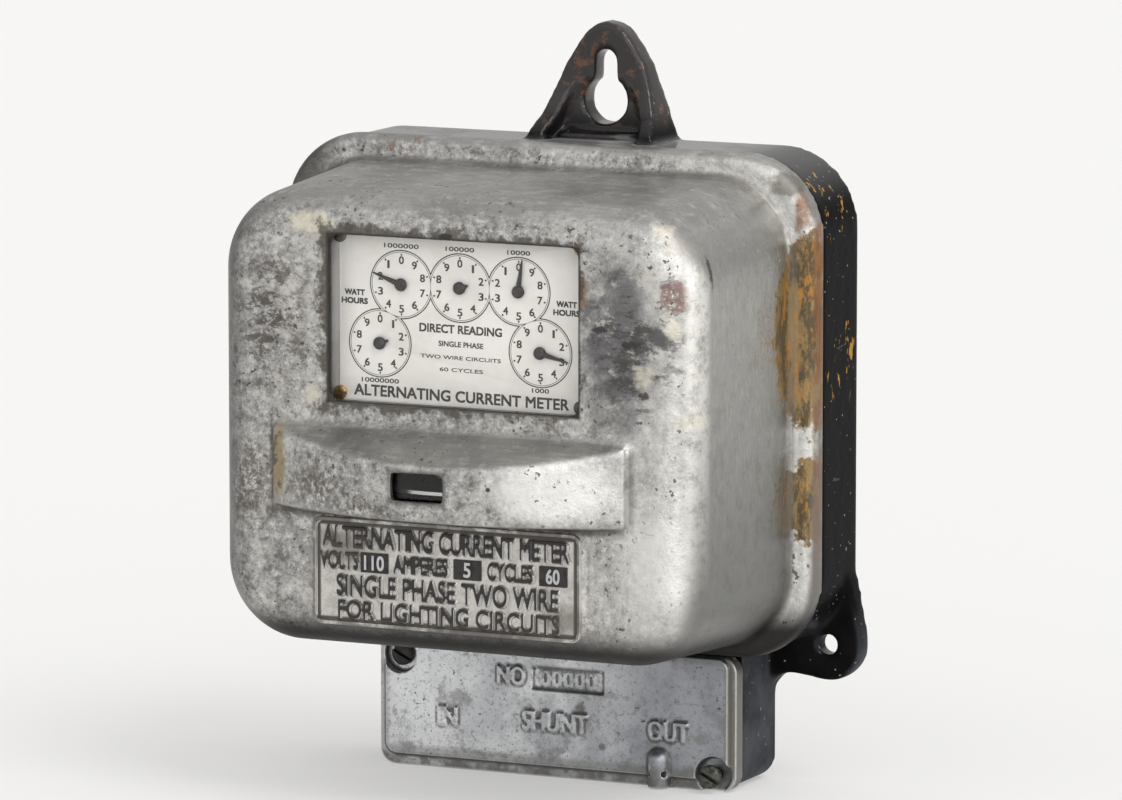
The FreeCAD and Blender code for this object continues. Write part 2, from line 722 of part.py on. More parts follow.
def make_meter_frame():
    """Cast bracket: back plate, an arm below the rotor and a T-shaped arm above it."""
    back = rounded_block(-32.0, 32.0, -62.0, 36.0, 5.0, frame_back, frame_face)
    lower = box((-8.0, 8.0), (rotor_y - 8.0, frame_back), (lower_arm_z, lower_arm_z + arm_thick))
    upper = box((-8.0, 8.0), (rotor_y - 8.0, frame_back), (upper_arm_z, upper_arm_z + arm_thick))
    cross = box((-40.0, 40.0), (register_back, rotor_y - 6.0), (upper_arm_z, upper_arm_z + arm_thick))
    gussets = [polygon_block((vec(-2.0, frame_face + 1, lower_arm_z + 1),
                              vec(-2.0, -30.0, lower_arm_z + 1),
                              vec(-2.0, frame_face + 1, lower_arm_z - 0.9)), vec(4.0, 0, 0)),
               polygon_block((vec(-2.0, frame_face + 1, upper_arm_z + arm_thick - 1),
                              vec(-2.0, -40.0, upper_arm_z + arm_thick - 1),
                              vec(-2.0, frame_face + 1, upper_arm_z + arm_thick + 7)),
                             vec(4.0, 0, 0))]
    frame = fuse_all([back, lower, upper, cross] + gussets)
    frame = frame.cut(rod_z(0, rotor_y, 4.0, lower_arm_z - 1, lower_arm_z + arm_thick + 1))
    frame = frame.cut(rod_z(0, rotor_y, 3.0, upper_arm_z - 1, upper_arm_z + arm_thick + 1))
    for x, z in frame_bolt_spots:
        frame = frame.cut(rod_y(x, z, 2.2, 0, -20))
    return frame


def make_frame_screws():
    return Part.makeCompound([slotted_screw(x, z, 4.0, frame_face, frame_face - 2.6, 2.1,
                                            frame_back - 0.2, 40)
                              for x, z in frame_bolt_spots])


def make_lower_jewel_bearing():
    """Brass screw cup under the spindle's cone."""
    body = rod_z(0, rotor_y, 4.0, lower_arm_z - 3.0, lower_arm_z + arm_thick + 1.0)
    head = rod_z(0, rotor_y, 5.6, lower_arm_z - 5.0, lower_arm_z - 1.0)
    cup_floor = spindle_bottom - 0.1
    cup = rod_z(0, rotor_y, spindle_radius + running_clearance, cup_floor, 0)
    collar = rod_z(0, rotor_y, 4.0, lower_arm_z + arm_thick, spindle_bottom + 4.0)
    return fuse_all([body, head, collar]).cut(cup)


def make_upper_guide_bearing():
    body = rod_z(0, rotor_y, 3.0, upper_arm_z - 1.5, upper_arm_z + arm_thick + 2.0)
    head = rod_z(0, rotor_y, 5.0, upper_arm_z + arm_thick, upper_arm_z + arm_thick + 3.0)
    bore = rod_z(0, rotor_y, spindle_pin_radius + running_clearance, 0, spindle_top + 0.5)
    recess = rod_z(0, rotor_y, 2.0, 0, spindle_top - 3.5)
    return fuse_all([body, head]).cut(bore).cut(recess)


core_back = -10.5
core_nose = (-44.0, -34.0)
air_gap = 2.0


def make_stator_core():
    """Laminated iron: one pole above the disc and two poles below it."""
    yoke = box((-11.0, 11.0), (-20.0, core_back), (-56.0, 18.0))
    top = box((-11.0, 11.0), (core_nose[0], core_back), (8.0, 18.0))
    nose = box((-5.0, 5.0), core_nose, (disc_z + air_gap, 9.0))
    bottom = box((-17.0, 17.0), (core_nose[0], core_back), (-56.0, -47.0))
    poles = [box((x - 5.0, x + 5.0), core_nose, (-48.0, disc_z - air_gap)) for x in (-12.0, 12.0)]
    return fuse_all([yoke, top, nose, bottom] + poles)


def coil(x, z_low, z_high, inner, outer):
    y = (core_nose[0] + core_nose[1]) / 2
    ring = rod_z(x, y, outer, z_low, z_high).cut(rod_z(x, y, inner, z_low - 1, z_high + 1))
    flanges = [rod_z(x, y, outer + 0.8, z, z + 1.0).cut(rod_z(x, y, inner, z - 1, z + 2))
               for z in (z_low - 1.0, z_high)]
    return fuse_all([ring] + flanges)


def make_potential_coil():
    return coil(0.0, disc_z + air_gap + 2.5, 6.8, 7.2, 14.5)


def make_current_coil(side):
    return coil(side * 12.0, -45.8, disc_z - air_gap - 1.8, 7.2, 10.8)


magnet_y = (rotor_y - magnet_half_depth, rotor_y + magnet_half_depth)


def make_drag_magnet(side):
    """C-shaped permanent magnet whose jaws straddle the disc's rim."""
    low, high = disc_z - magnet_half_height, disc_z + magnet_half_height
    limb = 10.0
    outer = rounded_block(magnet_x[0], magnet_x[1], low, high, 9.0, magnet_y[1], magnet_y[0])
    inner = rounded_block(magnet_x[0] + limb, -40.0, low + limb, high - limb, 5.0,
                          magnet_y[1] + 1, magnet_y[0] - 1)
    gap = box((-45.0, -20.0), (magnet_y[0] - 1, magnet_y[1] + 1), (disc_z - air_gap, disc_z + air_gap))
    magnet = outer.cut(inner).cut(gap)
    if side > 0:
        magnet = magnet.mirror(vec(0, 0, 0), vec(1, 0, 0))
    return magnet


def make_magnet_bracket(side):
    """Post from the base to the magnet's back, with a foot on the base."""
    post = box((-69.0, -60.0), (magnet_y[1], -base_wall), (disc_z - 6.0, disc_z + 6.0))
    foot = box((-69.0, -46.0), (-base_wall - 4.0, -base_wall), (disc_z - 6.0, disc_z + 6.0))
    bracket = fuse_all([post, foot]).cut(rod_y(magnet_foot_x, disc_z, 2.2, 0, -20))
    if side > 0:
        bracket = bracket.mirror(vec(0, 0, 0), vec(1, 0, 0))
    return bracket


def make_magnet_screws():
    foot = -base_wall - 4.0
    return Part.makeCompound([slotted_screw(side * magnet_foot_x, disc_z, 4.0, foot, foot - 2.4,
                                            2.1, -base_wall - 0.2, 70)
                              for side in (1, -1)])


# ---- terminal chamber ---------------------------------------------------------------------

block_front = -10.0
terminal_z = (-106.0, -88.0)


def make_terminal_block():
    """Insulating block on the chamber's floor, with ribs between the terminals."""
    body = box((-45.0, 47.0), (block_front, -base_wall), (-108.0, -84.0))
    ribs = [box((x - 1.5, x + 1.5), (-18.0, block_front), (-108.0, -84.0)) for x in (-17.5, 19.5)]
    return fuse_all([body] + ribs)


def make_terminal(x):
    """Brass terminal with a wire hole from below and two clamp screw holes."""
    body = box((x - 6.0, x + 6.0), (-20.0, block_front), terminal_z)
    body = body.cut(rod_z(x, -14.5, 2.8, terminal_z[0] - 1, terminal_z[1] - 3.0))
    for z in (-102.0, -94.0):
        body = body.cut(rod_y(x, z, 1.6, -15.0, -21.0))
    return body


def make_terminal_screws():
    return Part.makeCompound([slotted_screw(x, z, 2.9, -20.0, -22.2, 1.55, -16.8, 30 + x)
                              for x in terminal_xs for z in (-102.0, -94.0)])


def lead(points):
    """Insulated wire: straight runs joined by tangent arcs of one bend radius."""
    edges = []
    start = vec(*points[0])
    for index in range(1, len(points) - 1):
        corner = vec(*points[index])
        inward = (corner - vec(*points[index - 1])).normalize()
        outward = (vec(*points[index + 1]) - corner).normalize()
        turn = inward.getAngle(outward)
        setback = lead_bend * math.tan(turn / 2)
        arc_start = corner - inward * setback
        arc_end = corner + outward * setback
        towards = (outward - inward).normalize()
        centre = corner + towards * (lead_bend / math.cos(turn / 2))
        edges.append(Part.LineSegment(start, arc_start).toShape())
        edges.append(Part.Arc(arc_start, centre - towards * lead_bend, arc_end).toShape())
        start = arc_end
    last = vec(*points[-1])
    edges.append(Part.LineSegment(start, last).toShape())
    path = Part.Wire(edges)
    first_run = (vec(*points[1]) - vec(*points[0])).normalize()
    section = Part.Wire(Part.Circle(vec(*points[0]), first_run, lead_radius).toShape())
    return path.makePipeShell([section], True, False)


def make_current_lead(side):
    """Lead from the foot of a current coil, down through the passage, to its line terminal."""
    x = terminal_xs[0] if side < 0 else terminal_xs[2]
    coil_side = side * 12.0
    return lead(((coil_side + side * 9.0, -50.2, -43.0), (coil_side + side * 9.0, -56.0, -43.0),
                 (coil_side + side * 9.0, -56.0, -64.5), (side * 19.0, -17.0, -68.0),
                 (side * 19.0, -17.0, -80.5), (x, -14.5, -84.5), (x, -14.5, -88.0)))


def make_potential_lead():
    """Lead from the potential coil, past the frame's arm, to the middle terminal."""
    x = terminal_xs[1]
    return lead(((-14.6, -36.0, -9.0), (-24.0, -36.0, -9.0), (-24.0, -14.0, -9.0),
                 (-24.0, -14.0, -57.0), (x + 4.0, -17.0, -68.0), (x + 4.0, -17.0, -79.5),
                 (x, -14.5, -84.5), (x, -14.5, -88.0)))


def make_terminal_cover():
    """Shallow cast lid: flat rim, raised panel, two screw pockets and a sealing lug."""
    left = chamber_x - chamber_width / 2
    right = chamber_x + chamber_width / 2
    lid = rounded_block(left, right, chamber_bottom, terminal_cover_top, 5.0, chamber_front,
                        terminal_cover_front)
    panel = rounded_block(left + lid_rim_side, right - lid_rim_side, chamber_bottom + lid_rim_bottom,
                          terminal_cover_top - 0.6, 3.5, terminal_cover_front + 1,
                          terminal_panel_front)
    lug_x, lug_radius = 35.5, 3.4
    lug = rod_z(lug_x, terminal_panel_front, lug_radius, chamber_bottom, -109.0)
    dome = Part.makeSphere(lug_radius, vec(lug_x, terminal_panel_front, -109.0))
    lug = fuse_all([lug, dome])
    lug = lug.cut(box((lug_x - 10, lug_x + 10), (terminal_cover_front + 2, 0), (-130, -90)))
    lid = fuse_all([lid, panel, lug])
    lid = lid.cut(rod_x(terminal_panel_front - 1.7, -113.0, 0.9, lug_x - 10, lug_x + 10))
    hollow = rounded_block(left + 4.5, right - 4.5, chamber_bottom + 4.5, terminal_cover_top - 3.0,
                           3.0, chamber_front + 1, chamber_front - lid_hollow)
    pads = [rod_y(x, z, 6.4, chamber_front + 1, chamber_front - lid_hollow)
            for x, z in cover_screw_spots]
    lid = lid.cut(hollow.cut(fuse_all(pads)))
    for x, z in cover_screw_spots:
        lid = lid.cut(rod_y(x, z, cover_pocket_radius, cover_screw_seat, -40))
        lid = lid.cut(rod_y(x, z, cover_screw_hole_radius + 0.15, 0, -40))
    return lid


def make_terminal_cover_screws():
    screws = []
    for index, (x, z) in enumerate(cover_screw_spots):
        proud = cover_screw_backed_out if index == 0 else 0.0
        seat = cover_screw_seat - proud
        screws.append(slotted_screw(x, z, 3.5, seat, seat - 2.6, cover_screw_hole_radius - 0.1,
                                    seat + cover_screw_length, 28))
    return Part.makeCompound(screws)


# ---- export -------------------------------------------------------------------------------

pieces = {
    "base": make_base,
    "cover_gasket": make_cover_gasket,
    "cover_screws": make_cover_screws,
    "front_cover": make_front_cover,
    "register_window_glass": make_register_window_glass,
    "window_frame": make_window_frame,
    "window_frame_screws": make_window_frame_screws,
    "disc_window_glass": make_disc_window_glass,
    "rotor_disc": make_rotor_disc,
    "disc_hub": make_disc_hub,
    "rotor_spindle": make_rotor_spindle,
    "worm": make_worm,
    "worm_wheel": make_worm_wheel,
    "worm_wheel_arbor": make_worm_wheel_arbor,
    "register_front_plate": make_register_front_plate,
    "register_back_plate": make_register_back_plate,
    "register_pillars": make_register_pillars,
    "dial_plate": make_dial_plate,
    "dial_screws": make_dial_screws,
    "meter_frame": make_meter_frame,
    "frame_screws": make_frame_screws,
    "lower_jewel_bearing": make_lower_jewel_bearing,
    "upper_guide_bearing": make_upper_guide_bearing,
    "stator_core": make_stator_core,
    "potential_coil": make_potential_coil,
    "current_coil_left": lambda: make_current_coil(-1),
    "current_coil_right": lambda: make_current_coil(1),
    "drag_magnet_left": lambda: make_drag_magnet(-1),
    "drag_magnet_right": lambda: make_drag_magnet(1),
    "magnet_bracket_left": lambda: make_magnet_bracket(-1),
    "magnet_bracket_right": lambda: make_magnet_bracket(1),
    "magnet_screws": make_magnet_screws,
    "terminal_block": make_terminal_block,
    "terminal_in": lambda: make_terminal(terminal_xs[0]),
    "terminal_shunt": lambda: make_terminal(terminal_xs[1]),
    "terminal_out": lambda: make_terminal(terminal_xs[2]),
    "terminal_screws": make_terminal_screws,
    "current_lead_in": lambda: make_current_lead(-1),
    "current_lead_out": lambda: make_current_lead(1),
    "potential_lead": make_potential_lead,
    "terminal_cover": make_terminal_cover,
    "terminal_cover_screws": make_terminal_cover_screws,
}
for dial_index, dial in enumerate(dials):
    pieces["dial_%s_wheel" % dial[0]] = lambda i=dial_index: make_dial_wheel(i)
    pieces["dial_%s_arbor" % dial[0]] = lambda i=dial_index: make_dial_arbor(i)
    pieces["dial_%s_pointer" % dial[0]] = lambda i=dial_index: make_pointer(i)

for name, build in pieces.items():
    shape = build()
    print(name, "solids", len(shape.Solids), "volume", round(shape.Volume, 1), "valid", shape.isValid())
    shape.exportStep("parts/%s.step" % name)
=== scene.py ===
"""Looks of the wall-hung watt-hour meter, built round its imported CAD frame.

Lengths are in millimetres unless a name says otherwise, and are turned into metres as meshes are
made. X is to the right, the front faces -Y and +Z is up.
"""
import bmesh
import bpy
from math import acos, atan2, copysign, cos, degrees, hypot, pi, radians, sin, sqrt
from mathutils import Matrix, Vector


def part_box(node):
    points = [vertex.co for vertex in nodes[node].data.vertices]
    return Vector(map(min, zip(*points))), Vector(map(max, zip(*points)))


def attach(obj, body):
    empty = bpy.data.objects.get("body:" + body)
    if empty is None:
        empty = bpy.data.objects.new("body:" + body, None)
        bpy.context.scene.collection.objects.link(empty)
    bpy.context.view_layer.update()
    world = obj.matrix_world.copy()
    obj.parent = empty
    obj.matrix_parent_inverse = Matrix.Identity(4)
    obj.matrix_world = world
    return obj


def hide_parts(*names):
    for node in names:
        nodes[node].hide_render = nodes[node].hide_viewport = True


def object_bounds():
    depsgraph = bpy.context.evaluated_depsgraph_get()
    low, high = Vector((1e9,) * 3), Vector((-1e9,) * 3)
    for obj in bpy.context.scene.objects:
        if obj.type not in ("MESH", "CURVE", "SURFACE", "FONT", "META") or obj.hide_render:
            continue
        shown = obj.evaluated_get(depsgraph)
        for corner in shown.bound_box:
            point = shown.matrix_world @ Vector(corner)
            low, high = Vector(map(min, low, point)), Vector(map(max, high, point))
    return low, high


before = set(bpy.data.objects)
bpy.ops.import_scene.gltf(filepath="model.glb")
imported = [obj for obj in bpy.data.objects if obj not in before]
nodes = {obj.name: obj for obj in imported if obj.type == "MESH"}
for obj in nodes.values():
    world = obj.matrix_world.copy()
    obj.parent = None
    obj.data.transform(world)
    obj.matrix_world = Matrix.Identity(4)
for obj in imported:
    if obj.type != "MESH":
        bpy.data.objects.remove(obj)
cad_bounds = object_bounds()
scene = bpy.context.scene
MM = 0.001

# ---- dimensions repeated from the CAD ----
DIAL_FACE = -94.5
DIAL_NAMES = ("1000", "10000", "100000", "1000000", "10000000")
POINTER_ANGLES = (103.5, 8.6, 72, -70, 72)
POINTER_LENGTHS = (9.6, 9.6, 3.2, 9.6, 3.2)
ARBOR_SPACING = 19
PLATE_X = -0.8
PLATE_WIDTH = 87.4
PLATE_TOP = -29.6
PLATE_BOTTOM = -62
PAD_FRONT = -102.2
LID_PANEL_FRONT = -31.2
LID_X = 1
WINDOW = (0.6, 29.1, 40.3, 24.5)            # centre X and Z, half width, half height
DISC_WINDOW = (-3.3, -17, 8.25, 4)
ROTOR_Y = -67
DISC_Z = -19
COIL_Y = -39
BASE_CORNER = (62.4, 50.6, 24.1)            # centre X and Z, radius
TERMINAL_XS = (-36, 1, 38)

# ---- camera: bearing from the front, height angle, distance, aimed point, lens ----
AZIMUTH = radians(25)
ELEVATION = radians(8.3)
DISTANCE = 2486
AIM = (-9.05, -5.21, -6.18)
LENS = 263.1


def mm(x, y, z):
    return Vector((x * MM, y * MM, z * MM))


# ---- mesh helpers ----


def add_object(name, mesh):
    obj = bpy.data.objects.new(name, mesh)
    scene.collection.objects.link(obj)
    return obj


def rework(obj, change):
    """Runs a change on the object's mesh as bmesh data."""
    work = bmesh.new()
    work.from_mesh(obj.data)
    change(work)
    work.to_mesh(obj.data)
    work.free()
    return obj


def face_outwards(obj):
    return rework(obj, lambda work: bmesh.ops.recalc_face_normals(work, faces=work.faces))


def merge_doubles(obj, distance):
    gap = distance * MM
    return rework(obj, lambda work: bmesh.ops.remove_doubles(work, verts=work.verts, dist=gap))


def object_from(name, points, faces):
    """Object from points in millimetres and lists of point numbers."""
    mesh = bpy.data.meshes.new(name)
    mesh.from_pydata([mm(*point) for point in points], [], faces)
    mesh.validate()
    return face_outwards(add_object(name, mesh))


def shade_smooth(obj, angle=35):
    """Smooth shading that breaks at edges sharper than the angle."""
    def mark_edges(work):
        for edge in work.edges:
            if len(edge.link_faces) == 2:
                edge.smooth = edge.calc_face_angle(0) < radians(angle)

    for face in obj.data.polygons:
        face.use_smooth = True
    return rework(obj, mark_edges)


def flatten(obj):
    """Puts the result of the object's modifiers into its mesh."""
    graph = bpy.context.evaluated_depsgraph_get()
    mesh = bpy.data.meshes.new_from_object(obj.evaluated_get(graph))
    obj.modifiers.clear()
    obj.data = mesh
    return obj


def gathered(name, meshes):
    """New object that holds a copy of each mesh."""
    work = bmesh.new()
    for mesh in meshes:
        work.from_mesh(mesh)
    whole = bpy.data.meshes.new(name)
    work.to_mesh(whole)
    work.free()
    return add_object(name, whole)


def join(name, parts):
    """One object from several, which are removed."""
    meshes = [part.data for part in parts]
    for part in parts:
        bpy.data.objects.remove(part)
    return gathered(name, meshes)


def copy_node(name, node):
    """Free copy of a CAD node's mesh, with its doubled points merged."""
    return merge_doubles(gathered(name, [nodes[node].data]), 0.002)


def modify(obj, kind, **settings):
    """Adds a modifier to the object, with its settings."""
    modifier = obj.modifiers.new(kind.lower(), kind)
    for key, value in settings.items():
        setattr(modifier, key, value)


def carve(obj, tools):
    """Cuts each tool out of the object and removes the tool."""
    for tool in tools:
        modify(obj, "BOOLEAN", operation="DIFFERENCE", solver="EXACT", object=tool)
    flatten(obj)
    for tool in tools:
        bpy.data.objects.remove(tool)
    return obj


def cast(obj, voxel, rounds, soft_rounds=0, softness=None, keep=1):
    """Turns sharp edges into those of a casting. softness(x, y, z) picks where it is rounder."""
    modify(obj, "REMESH", mode="VOXEL", voxel_size=voxel * MM)
    flatten(obj)
    modify(obj, "SMOOTH", factor=0.5, iterations=rounds)
    if softness is not None:
        group = obj.vertex_groups.new(name="soft")
        for vertex in obj.data.vertices:
            weight = softness(*(value / MM for value in vertex.co))
            if weight > 0:
                group.add([vertex.index], weight, "REPLACE")
        modify(obj, "SMOOTH", factor=0.5, iterations=soft_rounds, vertex_group="soft")
    if keep < 1:
        modify(obj, "DECIMATE", ratio=keep)
    flatten(obj)
    obj.vertex_groups.clear()
    for face in obj.data.polygons:
        face.use_smooth = True


def bevelled(node, width, segments=2):
    """Copy of a CAD node with its sharp edges rounded."""
    obj = copy_node(node + "_finished", node)
    rework(obj, lambda work: bmesh.ops.dissolve_limit(work, angle_limit=radians(0.6),
                                                      verts=work.verts, edges=work.edges))
    modify(obj, "BEVEL", width=width * MM, segments=segments, limit_method="ANGLE",
           angle_limit=radians(32))
    return shade_smooth(flatten(obj), 50)


def on_circle(centre, radius, turn):
    """The point of a circle at a turn in radians, as X and Z."""
    return centre[0] + radius * cos(turn), centre[1] + radius * sin(turn)


def tube(name, rings):
    """Closed skin through rings of points, with a flat face at each end."""
    around, last = len(rings[0]), len(rings) - 1
    faces = [tuple(range(around)), tuple(range((last + 1) * around - 1, last * around - 1, -1))]
    for ring in range(last):
        for step in range(around):
            here, following = ring * around + step, ring * around + (step + 1) % around
            faces.append((here, following, following + around, here + around))
    return object_from(name, [point for ring in rings for point in ring], faces)


def rounded_slab(name, x, z, half_width, half_height, radius, back, front):
    """Slab seen from the front as a rectangle with rounded corners."""
    steps = 6
    outline = []
    for corner, (sx, sz) in enumerate(((1, 1), (-1, 1), (-1, -1), (1, -1))):
        for step in range(steps + 1):
            turn = radians(90 * (corner + step / steps))
            outline.append((x + (sx * (half_width - radius) + radius * cos(turn)),
                            z + (sz * (half_height - radius) + radius * sin(turn))))
    return tube(name, [[(px, y, pz) for px, pz in outline] for y in (back, front)])


def lathe(name, profile, centre, axis="y", steps=48):
    """Turns (radius, along) points about an axis through the centre. along is a coordinate on it."""
    points = []
    for step in range(steps):
        for radius, along in profile:
            side, up = on_circle(centre, radius, 2 * pi * step / steps)
            points.append((side, along, up) if axis == "y" else (side, up, along))
    count = len(profile)
    faces = []
    for step in range(steps):
        here, there = step * count, (step + 1) % steps * count
        for index in range(count - 1):
            faces.append((here + index, here + index + 1, there + index + 1, there + index))
    return face_outwards(merge_doubles(object_from(name, points, faces), 0.0005))


def turned_point(x, z, along, across, angle):
    """X and Z of a point along and across from a centre, turned by an angle in degrees."""
    turn = radians(angle)
    return (x + along * cos(turn) - across * sin(turn),
            z + along * sin(turn) + across * cos(turn))


def lettering(text, x, z, height, width, back, front, weight=0, tilt=0):
    """Solid letters that face the front, filling height by width round x, z.

    weight thickens every stroke by that many millimetres on each side.
    """
    if weight > 0:
        corners = ((-1, -1), (-1, 1), (1, -1), (1, 1))
        copies = [lettering(text, x + sx * weight, z + sz * weight, height, width, back,
                            front - 0.006 * step, 0, tilt)
                  for step, (sx, sz) in enumerate(corners)]
        return join("letters", copies)
    curve = bpy.data.curves.new("letters", "FONT")
    curve.body = text
    curve.extrude = 0.5
    curve.resolution_u = 4
    writer = add_object("letters", curve)
    graph = bpy.context.evaluated_depsgraph_get()
    mesh = bpy.data.meshes.new_from_object(writer.evaluated_get(graph))
    bpy.data.objects.remove(writer)
    low = [min(vertex.co[i] for vertex in mesh.vertices) for i in range(3)]
    high = [max(vertex.co[i] for vertex in mesh.vertices) for i in range(3)]
    for vertex in mesh.vertices:
        share = [(vertex.co[i] - low[i]) / (high[i] - low[i]) for i in range(3)]
        px, pz = turned_point(x, z, (share[0] - 0.5) * width, (share[1] - 0.5) * height, tilt)
        vertex.co = mm(px, back + share[2] * (front - back), pz)
    return add_object("letters", mesh)


# ---- surface helpers ----


def colour(red, green, blue):
    """Linear colour from 0 to 255 display values."""
    values = [value / 255 for value in (red, green, blue)]
    return tuple(v / 12.92 if v <= 0.04045 else ((v + 0.055) / 1.055) ** 2.4 for v in values) + (1,)


def plug(tree, socket, value):
    """Puts a value on a socket, or links another node's output to it."""
    if isinstance(value, bpy.types.NodeSocket):
        tree.links.new(value, socket)
    else:
        socket.default_value = value


def add_node(tree, kind, inputs=None, **settings):
    """New node with its settings, and a value or a node's output for each named input."""
    node = tree.nodes.new("ShaderNode" + kind)
    for key, value in settings.items():
        setattr(node, key, value)
    for key, value in (inputs or {}).items():
        plug(tree, node.inputs[key], value)
    return node


materials = {}


class Surface:
    """A node material that is painted layer by layer, in object coordinates."""

    def __init__(self, name, base, roughness, metallic=0, specular=0.5, coat=0):
        self.material = materials[name] = bpy.data.materials.new(name)
        self.material.use_nodes = True
        self.tree = self.material.node_tree
        self.feed("Specular IOR Level", specular)
        self.feed("Coat Weight", coat)
        self.feed("Coat Roughness", 0.12)
        self.place = self.add("TexCoord").outputs["Object"]
        self.tint = colour(*base)
        self.roughness = roughness
        self.metallic = metallic
        self.height = None

    def add(self, kind, inputs=None, **settings):
        return add_node(self.tree, kind, inputs, **settings)

    def feed(self, name, value):
        """Sets an input of the surface's shader."""
        plug(self.tree, self.tree.nodes["Principled BSDF"].inputs[name], value)

    def noise(self, size, detail=4, roughness=0.6, stretch=(1, 1, 1), shift=0, distortion=0):
        """Clouds round 0.5, whose features are about size millimetres across."""
        moved = self.add("Mapping", {"Vector": self.place, "Scale": stretch,
                                     "Location": (shift, shift * 0.7, shift * 1.3)})
        node = self.add("TexNoise", {"Vector": moved.outputs[0], "Scale": 1000 / size, "Detail": detail,
                                     "Roughness": roughness, "Distortion": distortion})
        return node.outputs[0]

    def maths(self, operation, first, second=0):
        return self.add("Math", {0: first, 1: second}, operation=operation).outputs[0]

    def vector_maths(self, operation, first, second=(0, 0, 0), output=0):
        return self.add("VectorMath", {0: first, 1: second}, operation=operation).outputs[output]

    def ramp(self, value, low, high):
        """Smooth step of the value, from 0 at low to 1 at high."""
        return self.add("MapRange", {0: value, 1: low, 2: high},
                        interpolation_type="SMOOTHSTEP").outputs[0]

    def times(self, *values):
        product = values[0]
        for value in values[1:]:
            product = self.maths("MULTIPLY", product, value)
        return product

    def axis(self, name):
        """One coordinate, in millimetres."""
        return self.times(self.add("SeparateXYZ", {0: self.place}).outputs[name], 1000)

    def facing(self, direction):
        """How far the surface faces a direction, from -1 to 1."""
        normal = self.add("NewGeometry").outputs["Normal"]
        return self.vector_maths("DOT_PRODUCT", normal, direction, "Value")

    def along(self, name, low, high):
        return self.ramp(self.axis(name), low, high)

    def toward(self, direction, low, high):
        return self.ramp(self.facing(direction), low, high)

    def blots(self, low, high, *clouds, **pattern):
        """Ramp over clouds that are given as for noise."""
        return self.ramp(self.noise(*clouds, **pattern), low, high)

    def sharpness(self, low, high):
        """Ramp over how convex the surface is: 0.5 is flat."""
        return self.ramp(self.add("NewGeometry").outputs["Pointiness"], low, high)

    def patch(self, centre, reach, ragged=0.5, grain=5, edge=0.45, shift=0):
        """1 inside a ragged ellipsoid round the centre, 0 outside it. Millimetres."""
        away = self.vector_maths("SUBTRACT", self.place, mm(*centre))
        scaled = self.vector_maths("DIVIDE", away, mm(*reach))
        length = self.vector_maths("LENGTH", scaled, output="Value")
        rough = self.maths("SUBTRACT", self.noise(grain, 5, 0.65, shift=shift), 0.5)
        return self.ramp(self.maths("ADD", length, self.times(rough, 2 * ragged)), 1, 1 - edge)

    def around(self, centre_x, centre_z, half_width, half_height):
        """Distance outside a rectangle seen from the front, in millimetres; negative inside."""
        gaps = []
        for name, centre, half in (("X", centre_x, half_width), ("Z", centre_z, half_height)):
            offset = self.maths("ABSOLUTE", self.maths("SUBTRACT", self.axis(name), centre))
            gaps.append(self.maths("SUBTRACT", offset, half))
        return self.maths("MAXIMUM", gaps[0], gaps[1])

    def mixed(self, mask, first, second):
        """Colour between the first, where the mask is 0, and the second, where it is 1."""
        return self.add("Mix", {0: mask, 6: first, 7: second}, data_type="RGBA").outputs[2]

    def blended(self, mask, first, second):
        return self.add("Mix", {0: mask, 2: first, 3: second}, data_type="FLOAT").outputs[0]

    def paint(self, tint, strength, *masks, rough=None, metal=None):
        """Covers what the masks pick with a colour, and with a roughness or share of metal."""
        mask = self.times(*masks, strength)
        self.tint = self.mixed(mask, self.tint, colour(*tint))
        if rough is not None:
            self.roughness = self.blended(mask, self.roughness, rough)
        if metal is not None:
            self.metallic = self.blended(mask, self.metallic, metal)

    def stains(self, tint, strength, spots, *shape, **finish):
        """Paints a ragged stain at each (centre, reach)."""
        for centre, reach in spots:
            self.paint(tint, strength, self.patch(centre, reach, *shape), **finish)

    def raise_by(self, value, amount):
        """Adds relief: the value times an amount in millimetres."""
        step = self.times(value, amount)
        self.height = step if self.height is None else self.maths("ADD", self.height, step)

    def finish(self):
        self.feed("Base Color", self.tint)
        self.feed("Roughness", self.roughness)
        self.feed("Metallic", self.metallic)
        if self.height is not None:
            bump = self.add("Bump", {"Distance": MM, "Height": self.height})
            self.feed("Normal", bump.outputs["Normal"])
        return self.material


# ---- surfaces ----


